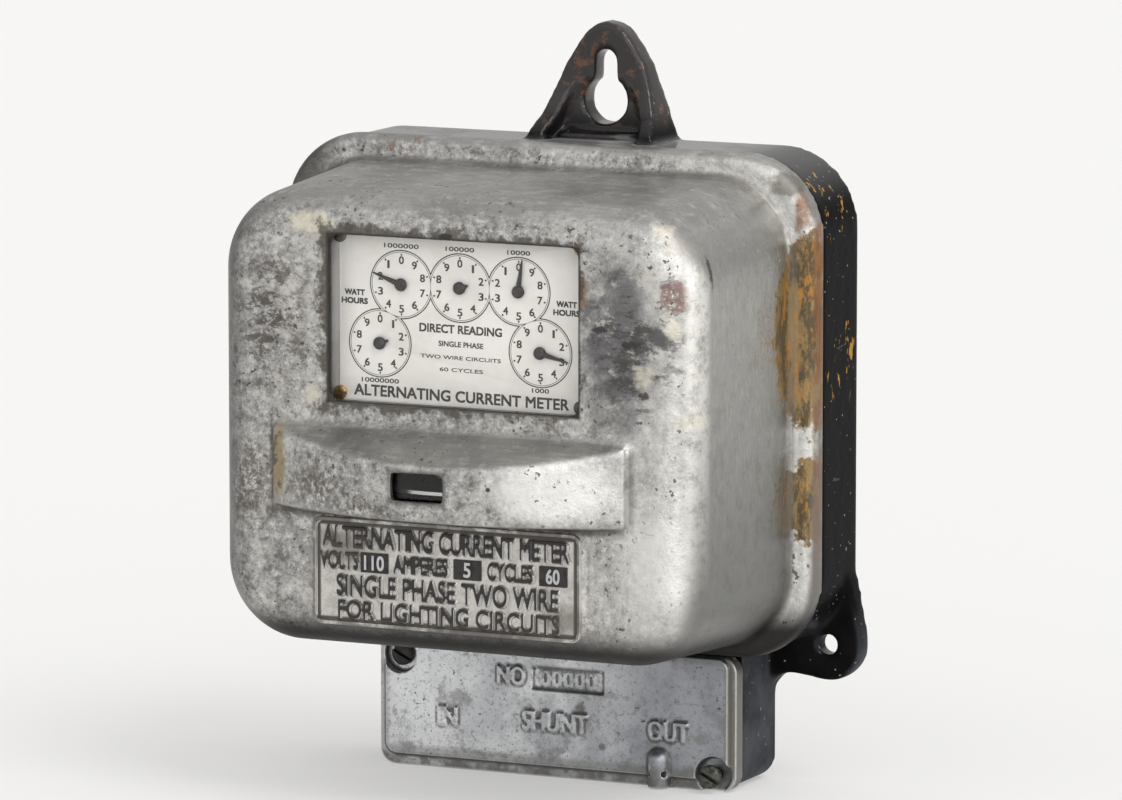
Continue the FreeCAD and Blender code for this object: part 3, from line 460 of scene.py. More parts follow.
def cover_casting():
    """Bare worn casting of the front cover, with its stains where they lie on the real one, and painted
    highlights and shade.
    """
    s = Surface("cast_aluminium", (180, 178, 174), 0.4, 1)
    clouds = s.noise(30, 5, 0.62)
    mottle = s.noise(5, 8, 0.74, shift=3)
    grit = s.noise(1.7, 5, 0.75, shift=5)
    grain = s.noise(0.8, 3, shift=1)
    face = s.toward((0, -1, 0), 0.55, 0.95)
    sideways = s.toward((1, 0, 0), 0.55, 0.95)
    # broad tone, then mottling and a sandy grain on the face
    s.paint((156, 155, 153), 1, s.ramp(clouds, 0.36, 0.62))
    s.paint((210, 208, 204), 0.6, s.ramp(mottle, 0.49, 0.63), rough=0.34)
    s.paint((98, 94, 90), 0.7, s.ramp(mottle, 0.48, 0.37), face, rough=0.5)
    s.paint((92, 88, 84), 0.5, s.ramp(grit, 0.52, 0.62), face, rough=0.55)
    s.paint((230, 228, 224), 0.5, s.ramp(grit, 0.46, 0.36), face, rough=0.32)
    s.paint((110, 107, 103), 0.3, s.ramp(grain, 0.55, 0.68), rough=0.5)
    # painted light: the face grows lighter towards the right
    s.paint((226, 224, 219), 0.5, s.along("X", 30, 78), face, rough=0.34)
    # painted highlight on the right half of the bulge
    s.paint((244, 242, 238), 0.75, s.patch((38, -112, -16), (24, 20, 13), 0.3, 9, 0.6), rough=0.3)
    s.paint((66, 58, 52), 0.85, s.blots(0.62, 0.68, 1.9, 2, 0.5, shift=7),
            s.blots(0.42, 0.58, 14, 2, 0.5, shift=9), rough=0.6, metal=0.5)
    # top and sides are smoother, with fine streaks
    s.paint((150, 149, 146), 0.5, s.toward((0, 0, 1), 0.35, 0.9),
            s.blots(0.42, 0.62, 1.3, stretch=(0.12, 1, 1), shift=5))
    s.paint((160, 160, 156), 0.75, sideways, rough=0.36)
    s.paint((190, 190, 187), 0.4, sideways,
            s.blots(0.48, 0.62, 0.9, 5, 0.7, stretch=(1, 1, 0.2), shift=6))
    s.paint((128, 126, 122), 0.35, sideways, s.ramp(mottle, 0.5, 0.62), rough=0.45)
    s.paint((110, 74, 48), 0.7, s.blots(0.75, 0.79, 1.1, 1, 0.4, shift=12), sideways, rough=0.6,
            metal=0.4)
    # dark oxide flakes left of the window, and a pale crust above its corner
    flakes = s.blots(0.5, 0.54, 4, 8, 0.8, shift=2, stretch=(0.7, 1, 1.2), distortion=0.4)
    s.paint((70, 62, 56), 0.85, s.patch((-60, -101, 30), (17, 16, 30), 0.7, 9, 0.8), flakes, rough=0.62,
            metal=0.35)
    s.paint((206, 203, 198), 0.6, s.patch((-58, -101, 46), (20, 14, 15), 0.6, 8, shift=4),
            s.ramp(mottle, 0.5, 0.6))
    s.paint((206, 199, 180), 0.7, s.patch((-46, -101, 57), (9, 12, 4.2), 0.5, 4), rough=0.6, metal=0.5)
    # corrosion right of the window
    right = s.patch((58, -101, 30), (19, 18, 30), 0.5, 10, shift=5)
    s.paint((92, 92, 95), 0.85, s.patch((54, -101, 26), (17, 18, 34), 0.6, 9, 0.7, 3), rough=0.45)
    s.paint((206, 203, 196), 0.65, right, s.blots(0.53, 0.6, 7, 7, 0.75, shift=11), rough=0.5)
    s.paint((66, 63, 61), 0.85, right, s.blots(0.48, 0.57, 9, 8, 0.75, shift=13, stretch=(0.6, 1, 1.2)),
            rough=0.55, metal=0.6)
    s.paint((128, 102, 94), 0.9, s.patch((71, -99, 41), (5.4, 8, 5.8), 0.4, 3, 0.4),
            s.ramp(grit, 0.36, 0.52), rough=0.5, metal=0.6)
    s.paint((120, 92, 66), 0.8, s.patch((41, -101, 41), (4, 6, 7), 0.6, 3), rough=0.6, metal=0.4)
    # painted shade: a mid-grey patch at the upper right corner dims the light's reflection there
    s.paint((150, 146, 140), 0.65, s.patch((71.5, -97, 58.5), (9, 12, 8), 0.8, 4, 0.7), rough=0.5)
    s.paint((176, 160, 110), 0.55, s.patch((77, -95, 4.5), (9, 8, 3.6), 1, 3, 0.8), rough=0.4, metal=0.5)
    s.paint((136, 96, 74), 0.6, s.patch((79, -52, 25), (5, 14, 16), 0.9, 6, 0.9), s.ramp(grit, 0.44, 0.6),
            rough=0.5, metal=0.6)
    s.stains((48, 44, 42), 0.85,
             (((76.5, -88, 47), (3, 1.3, 7)), ((57.6, -101, 26.6), (5, 3, 1.5)),
              ((48.1, -101, 30.5), (3.2, 3, 1.4)), ((62, -101, 12), (2, 3, 1.6))),
             0.9, 1.8, 0.5, rough=0.55, metal=0.5)
    s.stains((214, 208, 190), 0.6,
             (((70.8, -100, 31.7), (3, 5, 3.6)), ((66.5, -97, 60.7), (5, 6, 3.4)),
              ((62, -101, 17.5), (3.6, 4, 5.5)), ((-45, -101, 6), (3, 4, 5))),
             0.9, 3, 0.7, rough=0.55, metal=0.5)
    # painted highlights along the right-hand front rounding, broken by mottling, and low on the right of
    # the face
    s.paint((244, 242, 236), 0.75, s.toward((0.88, -0.47, 0), 0.9, 0.985), s.along("Z", -58, -30),
            s.ramp(mottle, 0.3, 0.56), rough=0.34)
    s.paint((236, 234, 230), 0.5, s.patch((66, -100, -38), (18, 10, 22), 0.5, 8, 0.7))
    # yellowed varnish on the brim's right side, copper-brown at its upper corner
    varnish = s.maths("MAXIMUM", s.patch((86, -36, 24), (10.5, 16, 31), 0.4, 4, 0.12),
                      s.patch((86, -36, -27), (10.5, 16, 13), 0.6, 4, 0.12))
    varnish = s.times(varnish, s.along("X", 77.4, 79))
    s.paint((136, 106, 50), 0.9, varnish, rough=0.34, metal=0.55)
    s.paint((64, 55, 40), 0.85, varnish, s.blots(0.44, 0.55, 6, 8, 0.75, stretch=(1, 1, 0.35), shift=15),
            rough=0.45, metal=0.35)
    s.paint((176, 122, 44), 0.7, varnish, s.blots(0.54, 0.62, 4, 6, 0.7, stretch=(1, 1, 0.4), shift=23),
            rough=0.3, metal=0.4)
    s.paint((118, 72, 28), 0.75, s.along("X", 86.4, 87), s.along("Z", -62, -50), s.along("Z", 70, 62),
            s.blots(0.36, 0.5, 9, shift=21), rough=0.5, metal=0.2)
    s.paint((122, 88, 64), 0.85, s.patch((82.5, -34, 59), (6, 10, 11), 0.9, 4, 0.8),
            s.along("X", 80.6, 82.4), s.along("Y", -31, -33.5), rough=0.45, metal=0.5)
    s.paint((88, 82, 74), 0.7, s.patch((78, -34, 67), (6.5, 8, 5), 0.5, 4), rough=0.55, metal=0.5)
    s.paint((124, 100, 84), 0.8, s.patch((-47, -34, 74.5), (9, 9, 5), 0.6, 3),
            s.blots(0.5, 0.58, 2.2, shift=4), rough=0.6, metal=0.4)
    # bulge: old paint and dirt round its left end, painted shade in the corner below it
    for centre, reach in (((-38, -108, -19), (17, 14, 8)), ((-20, -112, -24.5), (22, 14, 3.6)),
                          ((-66, -101, -22), (10, 10, 20))):
        s.paint((88, 80, 70), 0.75, s.patch(centre, reach, 0.8, 6, 0.8), s.ramp(grit, 0.4, 0.56),
                rough=0.5, metal=0.7)
    s.paint((140, 124, 88), 0.85, s.patch((-54.5, -104, -14), (4.2, 9, 14), 0.4, 4), rough=0.5, metal=0.3)
    s.paint((70, 60, 44), 0.8, s.patch((-54.5, -104, -14), (3.6, 9, 13), 0.5, 3, shift=3),
            s.blots(0.5, 0.58, 5, 5, 0.7, shift=17), rough=0.55, metal=0.2)
    # painted shade in and round the small disc window
    s.paint((66, 64, 62), 0.7, s.ramp(s.around(*DISC_WINDOW), 2.2, 0.2), s.along("Y", -104, -106),
            rough=0.5)
    # painted shade along the corner under the bulge, broken up by clouds
    s.paint((70, 64, 56), 0.7, s.along("Z", -26, -28.4), s.along("Z", -31.5, -29), s.along("X", 62, 50),
            face, s.blots(0.38, 0.55, 6, shift=6), rough=0.6, metal=0.4)
    s.stains((120, 94, 60), 0.7,
             (((52, -96, -67.5), (14, 8, 4)), ((20, -98, -67), (12, 8, 3))),
             1, 4, 0.8, rough=0.5, metal=0.6)
    # painted shade low on the right side, along the left edge and on the lower edge; dirt in hollows;
    # ridges brightened, partly wear and partly painted highlight
    s.paint((104, 104, 102), 0.75, sideways, s.along("Z", 30, -60))
    # painted shade along the left edge
    s.paint((80, 79, 77), 0.85, s.along("X", -64, -78))
    s.paint((80, 76, 71), 0.7, s.sharpness(0.492, 0.47), rough=0.55)
    # worn metal and painted highlight on convex ridges
    s.paint((206, 205, 201), 0.35, s.sharpness(0.515, 0.57), rough=0.34)
    # painted shade on the lower edge
    s.paint((36, 35, 34), 0.96, s.along("Z", -56, -66.5), rough=0.5)
    # grime round the window, thickest along its top and left
    gap = s.around(*WINDOW)
    ragged = s.times(s.maths("SUBTRACT", s.noise(5, 6, 0.72, shift=8), 0.5), 16)
    leftward = s.times(s.along("X", 20, -44), 1.6)
    skyward = s.times(s.along("Z", 30, 56), 1.2)
    reach = s.maths("SUBTRACT", s.maths("ADD", gap, ragged), s.maths("ADD", leftward, skyward))
    s.paint((70, 64, 57), 0.85, s.ramp(reach, 2.2, -0.4), s.ramp(gap, 8, 4), face, rough=0.6, metal=0.4)
    s.paint((50, 46, 42), 1, s.ramp(gap, 1.3, 0.2), rough=0.55, metal=0.5)
    s.paint((26, 26, 26), 0.95, s.patch((-1.8, -101, 54.8), (2.8, 4, 1.4), 0.25, 2), rough=0.5, metal=0)
    # painted shade standing in for a small hole in the bulge
    s.paint((40, 30, 24), 0.95, s.patch((19.4, -118, -16.1), (0.9, 30, 0.9), 0, 2), rough=0.6, metal=0.2)
    s.roughness = s.maths("ADD", s.roughness, s.times(s.maths("SUBTRACT", mottle, 0.5), 0.3))
    s.raise_by(grain, 0.08)
    s.raise_by(s.times(grit, face), 0.16)
    s.raise_by(s.times(mottle, face), 0.25)
    s.raise_by(s.noise(16, 3, 0.5, shift=19), 0.5)
    s.finish()


def lid_casting():
    """Blue-grey casting of the terminal lid, with small pits and a dirty lower rim."""
    s = Surface("lid_aluminium", (214, 215, 217), 0.42, 0.95)
    clouds = s.noise(16, 5, shift=2)
    grain = s.noise(0.8, 3, shift=4)
    s.paint((176, 178, 181), 1, s.ramp(clouds, 0.38, 0.62))
    # painted light and shade: lighter towards the left, darker and bluer towards the right
    s.paint((232, 233, 235), 0.6, s.along("X", -4, -44), rough=0.38)
    s.paint((116, 120, 128), 0.65, s.along("X", 6, 34))
    grit = s.noise(1.6, 5, 0.75, shift=11)
    s.paint((108, 107, 106), 0.6, s.ramp(grit, 0.53, 0.64), rough=0.55)
    s.paint((126, 125, 124), 0.6, s.blots(0.52, 0.64, 7, 7, 0.7, shift=13))
    s.paint((132, 132, 133), 0.5, s.ramp(grain, 0.54, 0.7))
    s.paint((66, 62, 60), 0.85, s.blots(0.66, 0.72, 1.4, 2, 0.5, shift=6),
            s.blots(0.44, 0.58, 12, 2, 0.5, shift=8), rough=0.65, metal=0.5)
    s.paint((84, 80, 73), 0.85, s.along("Z", -112.6, -114.6), s.blots(0.36, 0.6, 5), rough=0.6,
            metal=0.6)
    s.paint((120, 114, 90), 0.75, s.along("X", 56.6, 57.8), s.ramp(clouds, 0.3, 0.5), rough=0.55,
            metal=0.6)
    s.stains((98, 92, 84), 0.75,
             (((17, -31, -106.5), (1.7, 3, 1.6)), ((8, -31, -114), (2, 3, 1.2)),
              ((16, -31, -115.5), (2.6, 3, 1.2)), ((9.5, -31, -95), (2.4, 3, 2.4))),
             0.8, 1.8, 0.6, rough=0.6, metal=0.5)
    s.paint((112, 111, 106), 0.5, s.ramp(s.around(LID_X, -95, 56.4, 16.6), -1.6, 0.6), rough=0.5)
    s.paint((84, 82, 79), 0.75, s.sharpness(0.495, 0.475), rough=0.6)
    s.paint((214, 215, 216), 0.6, s.sharpness(0.512, 0.55), rough=0.34)
    s.raise_by(grain, 0.05)
    s.raise_by(s.noise(3, 3, shift=1), 0.1)
    s.finish()


def nameplate_casting():
    """Cast nameplate: pale ground, dark worn letters, a dirty edge, and painted highlight and shade on
    its sides.
    """
    s = Surface("plate_metal", (204, 201, 196), 0.42, 0.95)
    mottle = s.noise(4, 6, 0.68, shift=2)
    grain = s.noise(0.7, 3, shift=4)
    s.paint((164, 161, 157), 0.6, s.ramp(mottle, 0.42, 0.62))
    s.paint((118, 115, 111), 0.5, s.ramp(grain, 0.56, 0.7))
    raised = s.ramp(s.axis("Y"), PAD_FRONT - 0.5, PAD_FRONT - 0.8)
    inside = s.ramp(s.around(PLATE_X, -45.8, 41.4, 14), 0.2, -0.4)
    worn = s.blots(0.72, 0.62, 5, 5, 0.7, shift=9)
    s.paint((38, 36, 35), 0.97, raised, inside, worn, rough=0.5, metal=0.5)
    s.paint((66, 61, 56), 0.8, s.sharpness(0.495, 0.47), rough=0.6, metal=0.5)
    border = s.around(PLATE_X, -45.8, 42.3, 14.9)
    s.paint((54, 50, 47), 0.85, s.ramp(border, -1.5, -0.9), s.ramp(border, 0.1, -0.4), rough=0.6,
            metal=0.5)
    edge = s.ramp(s.around(PLATE_X, -45.8, 41.6, 14.1), -0.9, 0.5)
    s.paint((74, 69, 64), 0.7, edge, s.blots(0.36, 0.56, 7, shift=5), rough=0.6, metal=0.6)
    # painted highlight on faces turned right and down, painted shade on faces turned left and up
    s.paint((232, 230, 226), 0.8, s.toward((1, 0, -0.6), 0.35, 0.8), rough=0.3)
    s.paint((60, 56, 52), 0.7, s.toward((-1, 0, 0.6), 0.35, 0.8))
    s.stains((82, 76, 69), 0.6,
             (((38, -102.5, -56), (10, 6, 7)), ((-34, -102.5, -38), (16, 6, 7)),
              ((4, -102.5, -60.5), (30, 6, 2.2))),
             0.6, 4, 0.8, rough=0.6, metal=0.6)
    s.raise_by(grain, 0.04)
    s.raise_by(mottle, 0.08)
    s.finish()


def black_lacquer():
    """Baked black lacquer with scratches, gold and white flecks, rust on the hanging lug, and a painted
    reflection on the top of the base.
    """
    s = Surface("black_japan", (15, 14, 15), 0.34, specular=0.02)
    clouds = s.noise(18, 5)
    s.paint((23, 21, 22), 0.8, s.ramp(clouds, 0.45, 0.65), rough=0.42)
    s.paint((86, 85, 86), 0.5, s.blots(0.68, 0.72, 2.2, 3, stretch=(1, 0.16, 1), shift=3), rough=0.5)
    flecks = s.blots(0.6, 0.64, 3.4, 3, stretch=(1, 1, 0.5), shift=8)
    gilded = s.maths("MAXIMUM", s.patch((84, -18, 62), (14, 14, 15), 0.4, 6),
                     s.patch((86.5, -14, 14), (8, 14, 16), 0.4, 6))
    s.paint((176, 132, 54), 0.9, flecks, gilded, rough=0.45, metal=0.3)
    outside = s.maths("MAXIMUM", s.toward((1, 0, 0), 0.3, 0.8), s.along("Z", -76, -78))
    s.paint((176, 170, 152), 0.7, s.blots(0.73, 0.77, 1.5, 1, 0.4, shift=14), outside, rough=0.6)
    # painted reflection: the top of the base is greyed where the glossy lacquer would mirror the bright
    # surroundings
    s.paint((138, 137, 135), 0.75, s.toward((0, 0, 1), 0.9, 0.99), s.along("X", 66, 50),
            s.along("Z", 70, 73), s.ramp(clouds, 0.25, 0.5), rough=0.32)
    s.paint((74, 76, 81), 0.85, s.along("Z", -60, -80), s.toward((1, 0, 0), 0.2, 0.8),
            s.ramp(clouds, 0.8, 0.3), rough=0.45)
    lug = s.along("Z", 76, 86)
    rust = s.blots(0.53, 0.63, 5, 6, 0.7, shift=16)
    s.paint((46, 42, 41), 0.6, lug, rough=0.36)
    s.paint((96, 64, 44), 0.75, lug, rust, rough=0.6)
    s.paint((84, 78, 72), 0.4, s.sharpness(0.53, 0.6), rough=0.45)
    gloss = s.maths("MAXIMUM", s.toward((0, 0, 1), 0.3, 0.9), s.times(lug, 0.9))
    s.feed("Coat Weight", s.times(gloss, 0.9))
    s.raise_by(s.noise(5, 3, 0.5, shift=5), 0.16)
    s.raise_by(s.noise(1.2, 3, 0.5, shift=6), 0.03)
    s.finish()


def brushed(name, tint, dark, roughness, stretch):
    """Metal with fine streaks and darker clouds."""
    s = Surface(name, tint, roughness, 1)
    s.paint(dark, 0.55, s.blots(0.42, 0.66, 8, shift=2))
    streak = s.noise(0.7, 3, stretch=stretch, shift=4)
    s.paint(dark, 0.4, s.ramp(streak, 0.5, 0.66), rough=roughness + 0.12)
    s.raise_by(streak, 0.015)
    s.finish()


def plain(name, tint, dark, roughness, size, relief, **shine):
    """Surface with clouds of a darker tone, size millimetres across, and a fine relief."""
    s = Surface(name, tint, roughness, **shine)
    s.paint(dark, 1, s.blots(0.42, 0.64, size, 5, shift=1))
    fine = s.noise(size / 8, 3, shift=2)
    s.paint(dark, 0.4, s.ramp(fine, 0.56, 0.7))
    s.raise_by(fine, relief)
    s.finish()


def laminated():
    """Stacked iron sheets, seen as fine lines across X."""
    s = Surface("core_iron", (92, 86, 82), 0.45, 0.8)
    wave = s.maths("FRACT", s.times(s.axis("X"), 1.6))
    line = s.maths("MAXIMUM", s.ramp(wave, 0.22, 0.05), s.ramp(wave, 0.8, 0.96))
    s.paint((38, 34, 32), 0.8, line, rough=0.6)
    s.paint((104, 72, 52), 0.6, s.blots(0.5, 0.64, 6, 5), rough=0.6, metal=0.4)
    s.raise_by(line, -0.06)
    s.finish()


def turned_disc():
    """Rotor disc: turned aluminium with rings and a dark mark on part of its rim."""
    s = Surface("rotor_aluminium", (206, 206, 204), 0.28, 1)
    across = s.axis("X")
    along = s.maths("SUBTRACT", s.axis("Y"), ROTOR_Y)
    radius = s.maths("SQRT", s.maths("ADD", s.times(across, across), s.times(along, along)))
    rings = s.add("TexNoise", noise_dimensions="1D")
    for name, value in (("W", radius), ("Scale", 3), ("Detail", 4)):
        plug(s.tree, rings.inputs[name], value)
    s.paint((158, 158, 157), 0.5, s.ramp(rings.outputs[0], 0.45, 0.62), rough=0.36)
    mark = s.times(s.ramp(radius, 43.5, 44), s.ramp(across, 6, 5.4), s.ramp(across, -6, -5.4),
                   s.ramp(along, -0.5, 0.5))
    s.paint((24, 22, 22), 1, mark, rough=0.5, metal=0)
    s.raise_by(rings.outputs[0], 0.01)
    s.finish()


def clear_glass():
    """Thin pane: clear, mirroring more at a slant."""
    material = materials["window_glass"] = bpy.data.materials.new("window_glass")
    material.use_nodes = True
    tree = material.node_tree
    tree.nodes.clear()
    see = add_node(tree, "BsdfTransparent", {"Color": (0.99, 0.99, 0.988, 1)})
    shine = add_node(tree, "BsdfGlossy", {"Color": (0.7, 0.7, 0.7, 1), "Roughness": 0.04})
    slant = add_node(tree, "LayerWeight", {"Blend": 0.5})
    power = add_node(tree, "Math", {0: slant.outputs["Facing"], 1: 5}, operation="POWER")
    share = add_node(tree, "Math", {0: power.outputs[0], 1: 0.7, 2: 0.025}, operation="MULTIPLY_ADD")
    mix = add_node(tree, "MixShader", {0: share.outputs[0], 1: see.outputs[0], 2: shine.outputs[0]})
    add_node(tree, "OutputMaterial", {"Surface": mix.outputs[0]})


cover_casting()
lid_casting()
nameplate_casting()
black_lacquer()
laminated()
turned_disc()
clear_glass()
# name, colour, darker colour, roughness, size of clouds, relief
plain("felt", (96, 84, 70), (66, 56, 46), 0.95, 4, 0.2, specular=0.1)
plain("steel_screw", (104, 96, 86), (62, 55, 48), 0.46, 3, 0.03, metallic=0.85)
plain("old_steel", (88, 90, 82), (52, 50, 44), 0.5, 1.6, 0.05, metallic=0.7)
plain("dial_white", (233, 230, 226), (226, 222, 217), 0.42, 12, 0.01)
plain("dial_zinc", (206, 205, 203), (188, 187, 184), 0.5, 9, 0.01, metallic=0.2)
plain("dial_ink", (44, 42, 42), (62, 60, 58), 0.6, 3, 0.005)
plain("coil_varnish", (74, 48, 30), (44, 28, 18), 0.4, 3, 0.05, coat=0.3)
plain("coil_fibre", (122, 58, 40), (92, 42, 30), 0.6, 5, 0.03)
plain("lead_insulation", (88, 60, 46), (58, 38, 30), 0.8, 2, 0.12, specular=0.2)
plain("magnet_steel", (112, 30, 26), (78, 22, 20), 0.34, 9, 0.03, coat=0.4)
plain("hard_rubber", (44, 36, 32), (30, 25, 22), 0.4, 8, 0.03)
plain("pointer_black", (44, 40, 38), (26, 24, 23), 0.42, 1.5, 0.02)
plain("stamped_black", (52, 49, 47), (34, 32, 31), 0.55, 3, 0.03, metallic=0.3)
# name, colour, darker colour, roughness, stretch of the streaks
brushed("bright_steel", (190, 190, 190), (140, 139, 138), 0.22, (1, 1, 0.1))
brushed("tinned_steel", (176, 176, 172), (124, 122, 118), 0.36, (0.1, 1, 1))
brushed("brass", (196, 160, 92), (146, 110, 58), 0.28, (0.12, 1, 1))
brushed("copper", (184, 112, 78), (132, 74, 50), 0.34, (1, 0.1, 1))


def dress(obj, material):
    obj.data.materials.clear()
    obj.data.materials.append(materials[material])
    return obj


def place(obj, body, material, replaced=()):
    """Gives a new piece its surface, the body that it rides on and the CAD nodes it stands for."""
    dress(obj, material)
    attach(obj, body)
    if replaced:
        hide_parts(*replaced)
    return obj


# the CAD nodes that stay as they are take the surface of their slot in the record
slot_of = {}
for node_name, node in nodes.items():
    for index, old in enumerate(node.data.materials):
        slot_of[node_name] = old.name.split(".")[0]
        node.data.materials[index] = materials[slot_of[node_name]]

# ---- case castings ----


def cover_softness(x, y, z):
    """Rounder in the brim's corner and round the bulge, except at the small window."""
    if -41 < y < -32:
        return 1
    if abs(x - DISC_WINDOW[0]) < 12 and abs(z - DISC_WINDOW[1]) < 8:
        return 0
    if y < -98 and -34 < z < 4 and abs(x) < 64:
        return 0.9
    return 0


def build_cover():
    cover = copy_node("front_cover_casting", "front_cover")
    cast(cover, 1, 4, 11, cover_softness, keep=0.62)
    x, z, half_width, half_height = DISC_WINDOW
    carve(cover, [rounded_slab("opening", x, z, half_width + 0.1, half_height + 0.1, 0.8, -104, -125)])
    shade_smooth(cover, 42)
    place(cover, "front_cover_body", "cast_aluminium", ["front_cover"])


def base_softness(x, y, z):
    ear = abs(x) > 66 and z < -60
    return 0.8 if z > 75.2 or ear or (-9 < y < -4.5 and z < -60) else 0


def true_corners(obj, centre_x, centre_z, radius):
    """Cuts the faceted arcs of the four outer corners finer and puts them on their true radius."""
    def off_centre(vertex):
        return abs(vertex.co.x) / MM - centre_x, abs(vertex.co.z) / MM - centre_z

    def in_skin(vertex, tolerance):
        out_x, out_z = off_centre(vertex)
        return out_x > -0.1 and out_z > -0.1 and abs(hypot(out_x, out_z) - radius) < tolerance

    def put_on_arc(work):
        arcs = [edge for edge in work.edges
                if all(in_skin(vertex, 0.05) for vertex in edge.verts)
                and abs(edge.verts[0].co.x - edge.verts[1].co.x) > 0.2 * MM
                and abs(edge.verts[0].co.z - edge.verts[1].co.z) > 0.01 * MM]
        bmesh.ops.subdivide_edges(work, edges=arcs, cuts=4)
        for vertex in work.verts:
            out_x, out_z = off_centre(vertex)
            if in_skin(vertex, 1.2) and out_x > 0 and out_z > 0:
                stretch = radius / hypot(out_x, out_z)
                vertex.co.x = copysign(centre_x + out_x * stretch, vertex.co.x) * MM
                vertex.co.z = copysign(centre_z + out_z * stretch, vertex.co.z) * MM
        bmesh.ops.triangulate(work, faces=work.faces)

    rework(obj, put_on_arc)


def build_base():
    base = copy_node("base_casting", "base")
    true_corners(base, *BASE_CORNER)
    cast(base, 1, 5, 8, base_softness, keep=0.75)
    place(base, "root", "black_japan", ["base"])


def build_lid():
    """Terminal lid with its cast words and the sunk number panel."""
    lid = copy_node("terminal_lid", "terminal_cover")
    corners = ((-7, -90.8), (17.5, -90.8), (17.5, -83.4), (-7, -83.4))
    carve(lid, [tube("sunk", [[(x, y, z) for x, z in corners] for y in (LID_PANEL_FRONT + 0.8, -40)])])
    letter_back, letter_front = LID_PANEL_FRONT + 0.6, LID_PANEL_FRONT - 0.75
    rows = (("IN", -34.8, -101, 5.6, 6.4), ("SHUNT", 1.2, -100.2, 5.8, 21.5),
            ("OUT", 38.6, -100.2, 5.8, 13), ("NO", -13.4, -86.8, 5.4, 9))
    words = [lettering(*row, letter_back, letter_front, 0.16) for row in rows]
    words.append(lettering("00000", 5.2, -87, 4.6, 18.5, letter_back + 0.6, LID_PANEL_FRONT + 0.35))
    lid = join("terminal_lid", [lid] + words)
    cast(lid, 0.42, 3, keep=0.8)
    place(lid, "terminal_cover_body", "lid_aluminium", ["terminal_cover"])


def build_inner_parts():
    """Machined, cast and moulded parts of the works, with the edges they really have."""
    widths = {"meter_frame": 0.5, "drag_magnet_left": 0.7, "drag_magnet_right": 0.7,
              "magnet_bracket_left": 0.4, "magnet_bracket_right": 0.4, "stator_core": 0.25,
              "terminal_block": 0.6, "terminal_in": 0.35, "terminal_shunt": 0.35,
              "terminal_out": 0.35, "register_back_plate": 0.25, "dial_plate": 0.15,
              "lower_jewel_bearing": 0.3, "upper_guide_bearing": 0.3}
    for name, width in widths.items():
        place(bevelled(name, width), "root", slot_of[name], [name])
    place(bevelled("disc_hub", 0.25), "rotor_body", slot_of["disc_hub"], ["disc_hub"])


def build_register_plate():
    """The plate behind the dial, pale where it shows past the dial's edge."""
    plate = bevelled("register_front_plate", 0.25)
    place(plate, "root", "dial_zinc", ["register_front_plate"])


def build_nameplate():
    """Raised border and four rows of generic words on the pad."""
    middle = (PLATE_TOP + PLATE_BOTTOM) / 2
    half_width, half_height = PLATE_WIDTH / 2 - 0.2, (PLATE_TOP - PLATE_BOTTOM) / 2 - 0.2
    back, ground, top = PAD_FRONT + 1, PAD_FRONT - 0.12, PAD_FRONT - 0.95
    slab = rounded_slab("slab", PLATE_X, middle, half_width, half_height, 3, back, ground)
    border = rounded_slab("border", PLATE_X, middle, half_width, half_height, 3, ground + 0.2, top)
    carve(border, [rounded_slab("inside", PLATE_X, middle, half_width - 1.1, half_height - 1.1, 2.2,
                                ground + 3, top - 3)])
    rows = [("ALTERNATING CURRENT METER", 0, -35.4, 6.2, 80),
            ("VOLTS", -34.6, -42.6, 5, 12.4), ("AMPERES", -8, -42.6, 5, 17.6),
            ("CYCLES", 21, -42.6, 5, 14.6),
            ("SINGLE PHASE TWO WIRE", 0.5, -49.9, 6.2, 72),
            ("FOR LIGHTING CIRCUITS", 1, -57.1, 5.4, 72)]
    letters = [lettering(text, PLATE_X + x, z, height, width, ground + 0.2, top, 0.13)
               for text, x, z, height, width in rows]
    plate = join("nameplate", [slab, border] + letters)
    cast(plate, 0.23, 1, keep=0.5)
    place(plate, "front_cover_body", "plate_metal")
    for index, (text, x, width) in enumerate((("110", -23.4, 9), ("5", 6.9, 9), ("60", 34.6, 9))):
        panel = rounded_slab("rating_panel_%d" % index, PLATE_X + x, -42.7, width / 2, 3, 0.3,
                             ground + 0.3, ground - 0.3)
        shade_smooth(panel)
        place(panel, "front_cover_body", "stamped_black")
        digits = lettering(text, PLATE_X + x, -42.7, 4.2, 2.1 * len(text), ground, ground - 0.5, 0.12)
        digits.name = "rating_%d" % index
        place(digits, "front_cover_body", "lid_aluminium")


# ---- dial ----


def dial_centre(name):
    low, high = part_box("dial_%s_wheel" % name)
    return ((low.x + high.x) / 2 / MM, (low.z + high.z) / 2 / MM)


def strip(centre, radius, width, start, end, y):
    """Flat arc of a ring, from a start to an end angle in degrees."""
    steps = max(2, int(abs(end - start) / 3))
    points, faces = [], []
    for step in range(steps + 1):
        turn = radians(start + (end - start) * step / steps)
        for reach in (radius - width / 2, radius + width / 2):
            x, z = on_circle(centre, reach, turn)
            points.append((x, y, z))
    for step in range(steps):
        faces.append((2 * step, 2 * step + 2, 2 * step + 3, 2 * step + 1))
    return object_from("strip", points, faces)


def stroke(start, end, width, y):
    """Flat straight line between two points seen from the front."""
    along = Vector((end[0] - start[0], end[1] - start[1])).normalized() * (width / 2)
    points = [(start[0] + along.y, y, start[1] - along.x), (start[0] - along.y, y, start[1] + along.x),
              (end[0] - along.y, y, end[1] + along.x), (end[0] + along.y, y, end[1] - along.x)]
    return object_from("stroke", points, [(0, 3, 2, 1)])


